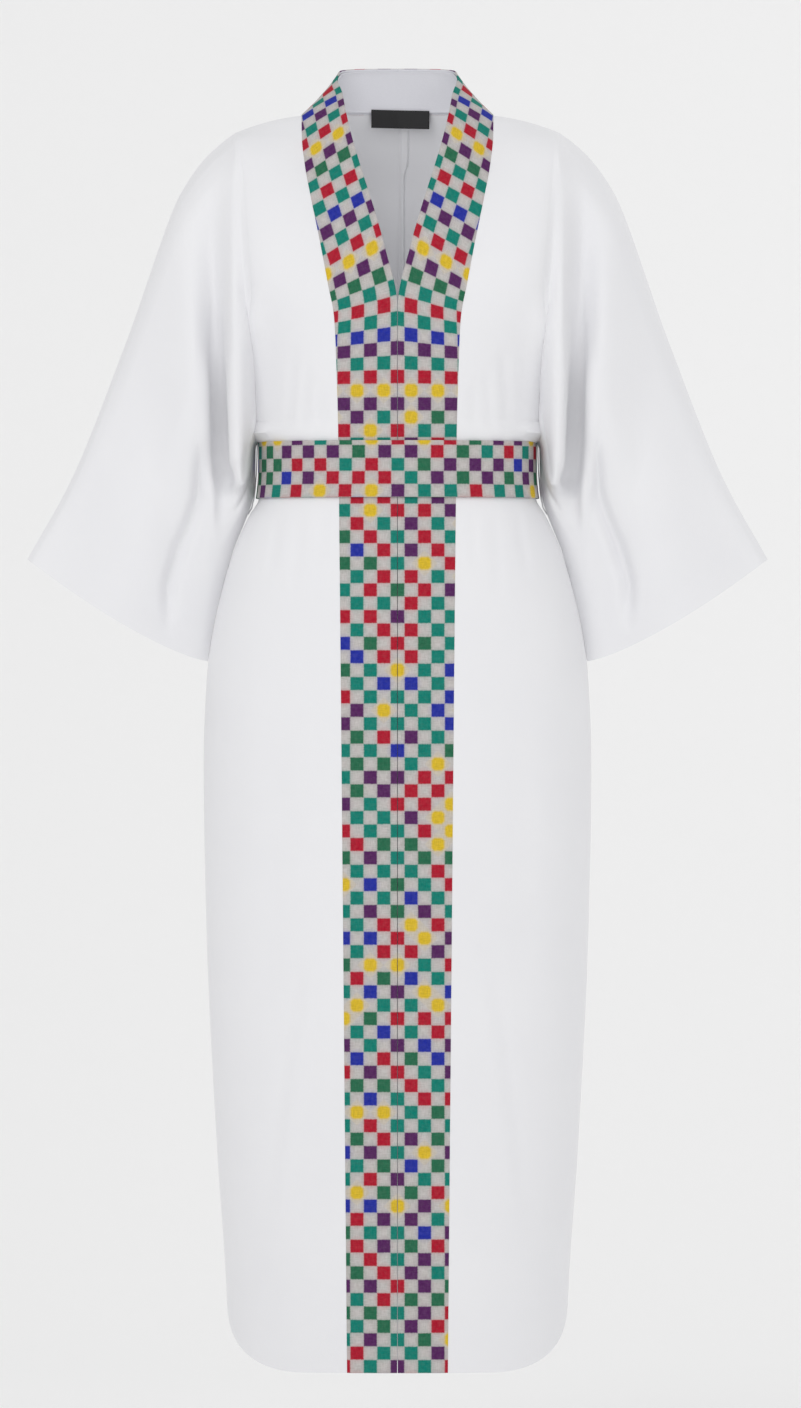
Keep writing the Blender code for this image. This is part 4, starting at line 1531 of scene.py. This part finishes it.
@dataclass
class Studio:
    """A pale sweep, soft light all round and a camera level with the middle of the robe."""

    distance: float = 12.0
    camera_x: float = 0.0032
    camera_z: float = -0.6155
    view_height: float = 1.4963
    floor_z: float = -1.42
    wall_y: float = 3.0
    bend: float = 1.2
    bend_steps: int = 16
    sweep_half: float = 9.0
    sweep_front: float = -15.0
    sweep_top: float = 6.0
    backdrop: str = "EFEFEF"
    glow: float = 0.09
    room_glow: float = 0.70
    seen_glow: float = 0.17
    boxes: tuple[LightBox, ...] = (
        LightBox("key_box", (-1.6, -3.6, 1.6), 2.8, 43.0),
        LightBox("fill_box", (2.2, -3.4, 0.3), 3.0, 17.0),
        LightBox("back_box", (2.3, 1.9, 0.7), 1.2, 10.0),
    )
    lit_point: tuple[float, float, float] = (0.0, 0.0, -0.55)
    bulb: LightBox = LightBox("hollow_bulb", (0.0, -0.02, -0.09), 0.05, 0.13)
    sensor_mm: float = 24.0
    far_end: float = 60.0

    def build(self) -> None:
        """Build the sweep, the lights and the camera."""
        self.sweep()
        self.lights()
        self.camera()

    def sweep(self) -> None:
        """Build the floor that curves up into the backdrop."""
        turn = np.linspace(0, math.pi / 2, self.bend_steps + 1)
        profile = [(self.sweep_front, self.floor_z), (self.wall_y - self.bend, self.floor_z)]
        for angle in turn[1:]:
            y = self.wall_y - self.bend + self.bend * math.sin(angle)
            profile.append((y, self.floor_z + self.bend * (1 - math.cos(angle))))
        profile.append((self.wall_y, self.sweep_top))
        across = (-self.sweep_half, 0.0, self.sweep_half)
        piece = whole_sheet("sweep", np.array([[(x, y, z) for x in across] for y, z in profile]))
        pick(piece)
        bpy.ops.object.shade_smooth()
        shader = Shader("backdrop_paper", roughness=0.95, sheen=0.0, specular=0.0)
        shader.feed("Emission Color", linear("FFFFFF"))
        shader.feed("Emission Strength", self.glow)
        shader.feed("Base Color", linear(self.backdrop))
        self.open_behind(shader)
        paint(piece, [shader.made])

    def open_behind(self, shader: Shader) -> None:
        """Let the backdrop be seen through from behind, so that it never hides the robe's back.

        Args:
            shader: The backdrop's shader.
        """
        side = shader.add("NewGeometry", output="Backfacing")
        both = shader.add("MixShader", side, shader.base.outputs["BSDF"], shader.add("BsdfTransparent"))
        shader.tree.links.new(both, shader.tree.nodes["Material Output"].inputs["Surface"])

    def room(self) -> None:
        """Build the room's even light, which the camera sees a little brighter."""
        world = bpy.data.worlds.new("room")
        world.use_nodes = True
        sky = world.node_tree.nodes["Background"]
        sky.inputs["Color"].default_value = linear("FFFFFF")
        seen = add_node(world.node_tree, "LightPath", output="Is Camera Ray")
        strength = add_node(world.node_tree, "Math.MULTIPLY_ADD", seen, self.seen_glow, self.room_glow)
        world.node_tree.links.new(strength, sky.inputs["Strength"])
        bpy.context.scene.world = world

    def lamp(self, kind: str, box: LightBox) -> bpy.types.Object:
        """Add a lamp that the camera doesn't see.

        Args:
            kind: The lamp's type.
            box: Its name, place and power.

        Returns:
            The lamp.
        """
        data = bpy.data.lights.new(box.name, kind)
        data.energy = box.power
        lamp = bpy.data.objects.new(box.name, data)
        bpy.context.scene.collection.objects.link(lamp)
        lamp.location = box.place
        lamp.visible_camera = False
        return lamp

    def lights(self) -> None:
        """Build the room's light, the soft boxes round the robe and a small bulb in its hollow."""
        self.room()
        for box in self.boxes:
            lamp = self.lamp("AREA", box)
            lamp.data.shape, lamp.data.size = "SQUARE", box.width
            self.aim(lamp)
        self.lamp("POINT", self.bulb).data.shadow_soft_size = self.bulb.width

    def camera(self) -> None:
        """Build the camera, so far off that the view is nearly flat, as in a studio picture."""
        data = bpy.data.cameras.new("photo_view")
        data.sensor_fit = "VERTICAL"
        data.sensor_height = self.sensor_mm
        data.lens = self.sensor_mm * self.distance / self.view_height
        data.clip_end = self.far_end
        made = bpy.data.objects.new("photo_view", data)
        bpy.context.scene.collection.objects.link(made)
        made.location = (self.camera_x, -self.distance, self.camera_z)
        made.rotation_euler = (math.pi / 2, 0.0, 0.0)
        bpy.context.scene.camera = made
        bpy.context.scene.view_settings.view_transform = "Standard"

    def aim(self, lamp: bpy.types.Object) -> None:
        """Turn a lamp towards the middle of the robe.

        Args:
            lamp: The lamp.
        """
        way = np.array(self.lit_point) - np.array(lamp.location)
        flat = math.hypot(way[0], way[1])
        lamp.rotation_euler = (math.atan2(flat, -way[2]), 0.0, math.atan2(-way[0], way[1]))


FRONT_FOLDS = (
    Fold(-0.0110, 0.0085, 0.0085, (
        (0.186, 1.187), (0.188, 1.134), (0.191, 1.081), (0.190, 1.028), (0.188, 0.986),
        (0.186, 0.952), (0.181, 0.933), (0.172, 0.924),
    ), 0.75, 0.10, 3.0),
    Fold(-0.0040, 0.0090, 0.0080, (
        (0.186, 0.959), (0.182, 0.937), (0.173, 0.925), (0.161, 0.920),
    ), 0.35, 0.25),
    Fold(0.0060, 0.0060, 0.0060, (
        (0.205, 1.102), (0.204, 1.028), (0.204, 0.986), (0.201, 0.954), (0.199, 0.933),
        (0.198, 0.917), (0.196, 0.890), (0.192, 0.869),
    ), 0.30, 0.25),
    Fold(0.0120, 0.0130, 0.0130, (
        (0.156, 1.145), (0.152, 1.081), (0.149, 1.028), (0.147, 0.996), (0.144, 0.975),
    ), 0.30, 0.12),
    Fold(0.0040, 0.0080, 0.0080, (
        (0.171, 1.102), (0.170, 1.028), (0.170, 0.986), (0.171, 0.950),
    ), 0.35, 0.10, 3.0),
    Fold(-0.0110, 0.0070, 0.0080, (
        (0.207, 0.996), (0.209, 0.943), (0.211, 0.922), (0.220, 0.899), (0.231, 0.874),
        (0.243, 0.833), (0.243, 0.774),
    ), 0.25, 0.25),
    Fold(-0.0014, 0.010, 0.012, ((0.090, 0.500), (0.108, 0.380), (0.124, 0.260), (0.140, 0.120))),
    Fold(0.0016, 0.010, 0.010, ((0.080, 0.480), (0.100, 0.360), (0.116, 0.240), (0.132, 0.090))),
    Fold(-0.0012, 0.016, 0.018, ((0.120, 0.760), (0.130, 0.620), (0.134, 0.470), (0.130, 0.330))),
    Fold(-0.0010, 0.006, 0.006, ((0.078, 0.918), (0.080, 0.880), (0.083, 0.830))),
    Fold(-0.0012, 0.006, 0.007, ((0.103, 0.918), (0.106, 0.870), (0.111, 0.800))),
    Fold(-0.0012, 0.005, 0.006, ((0.124, 0.918), (0.130, 0.880), (0.139, 0.830))),
    Fold(-0.0012, 0.006, 0.006, ((0.082, 0.985), (0.081, 1.010), (0.080, 1.050))),
    Fold(-0.0016, 0.006, 0.006, ((0.100, 0.985), (0.098, 1.020), (0.094, 1.070))),
    Fold(-0.0018, 0.006, 0.007, ((0.116, 0.985), (0.114, 1.025), (0.109, 1.090))),
)
BACK_FOLDS = (
    Fold(-0.0060, 0.007, 0.008, ((0.124, 1.150), (0.131, 1.070), (0.137, 1.000), (0.141, 0.935))),
    Fold(0.0040, 0.008, 0.009, ((0.160, 1.200), (0.161, 1.110), (0.160, 1.030), (0.157, 0.970))),
    Fold(-0.0060, 0.010, 0.012, ((0.180, 1.200), (0.180, 1.100), (0.176, 1.010), (0.170, 0.930))),
    Fold(-0.0040, 0.009, 0.011, ((0.215, 1.020), (0.228, 0.930), (0.238, 0.850), (0.240, 0.780))),
    Fold(-0.0016, 0.011, 0.013, ((0.060, 0.520), (0.066, 0.380), (0.070, 0.240), (0.072, 0.100))),
    Fold(0.0016, 0.012, 0.012, ((0.040, 0.560), (0.043, 0.400), (0.045, 0.240), (0.046, 0.060))),
    Fold(-0.0014, 0.016, 0.018, ((0.120, 0.740), (0.132, 0.600), (0.137, 0.450), (0.134, 0.300))),
    Fold(-0.0016, 0.005, 0.006, ((0.030, 0.918), (0.032, 0.870), (0.036, 0.800))),
    Fold(-0.0014, 0.005, 0.005, ((0.062, 0.918), (0.066, 0.880), (0.072, 0.820))),
    Fold(-0.0017, 0.005, 0.006, ((0.096, 0.918), (0.101, 0.870), (0.108, 0.800))),
    Fold(-0.0020, 0.005, 0.006, ((0.036, 0.985), (0.035, 1.020), (0.033, 1.080))),
    Fold(-0.0018, 0.005, 0.005, ((0.068, 0.985), (0.067, 1.020), (0.064, 1.070))),
    Fold(-0.0024, 0.005, 0.006, ((0.100, 0.985), (0.098, 1.030), (0.093, 1.100))),
)


def main() -> None:
    """Load the frame, then build and dress the robe and its studio."""
    logging.basicConfig(level=logging.INFO, format="%(name)s %(message)s")
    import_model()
    deselect()
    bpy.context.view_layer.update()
    form = RobeForm()
    grids = form.grids()
    crepe = CrepeFinish().make()
    check = CheckFinish("band_check", pitch=0.0141, across_shift=0.5, cycle_from=1.003).make()
    # The belt is shorter than its cycle_from, so its colours keep to clusters all along.
    belt_check = CheckFinish(
        "belt_check", pitch=0.0138, across_shift=0.0, cycle_from=9.0, first_shift=0.5
    ).make()
    # Plain cotton looks matt and even, and black satin tape has a low gloss between its ribs.
    facing = WovenFinish("neck_cotton", "E2E2E7", "DADAE0", roughness=0.8, sheen=0.15, rib_mm=0.6).make()
    tape = WovenFinish("label_satin_tape", "1A1A1C", "0C0C0E", roughness=0.5, sheen=0.1, rib_mm=0.5).make()
    pieces = RobeCloth(grids, Folds(FRONT_FOLDS, BACK_FOLDS), crepe).build()
    pieces += CheckBand(grids, check, facing).build()
    pieces.append(Belt(form, belt_check).build())
    pieces += BeltLoops(form, crepe).build()
    pieces += NeckInside(form, grids, facing, tape, crepe).build()
    for piece in pieces:
        LOG.info("%s has %d faces", piece.name, len(piece.data.polygons))
    Studio().build()


if __name__ == "__main__":
    main()
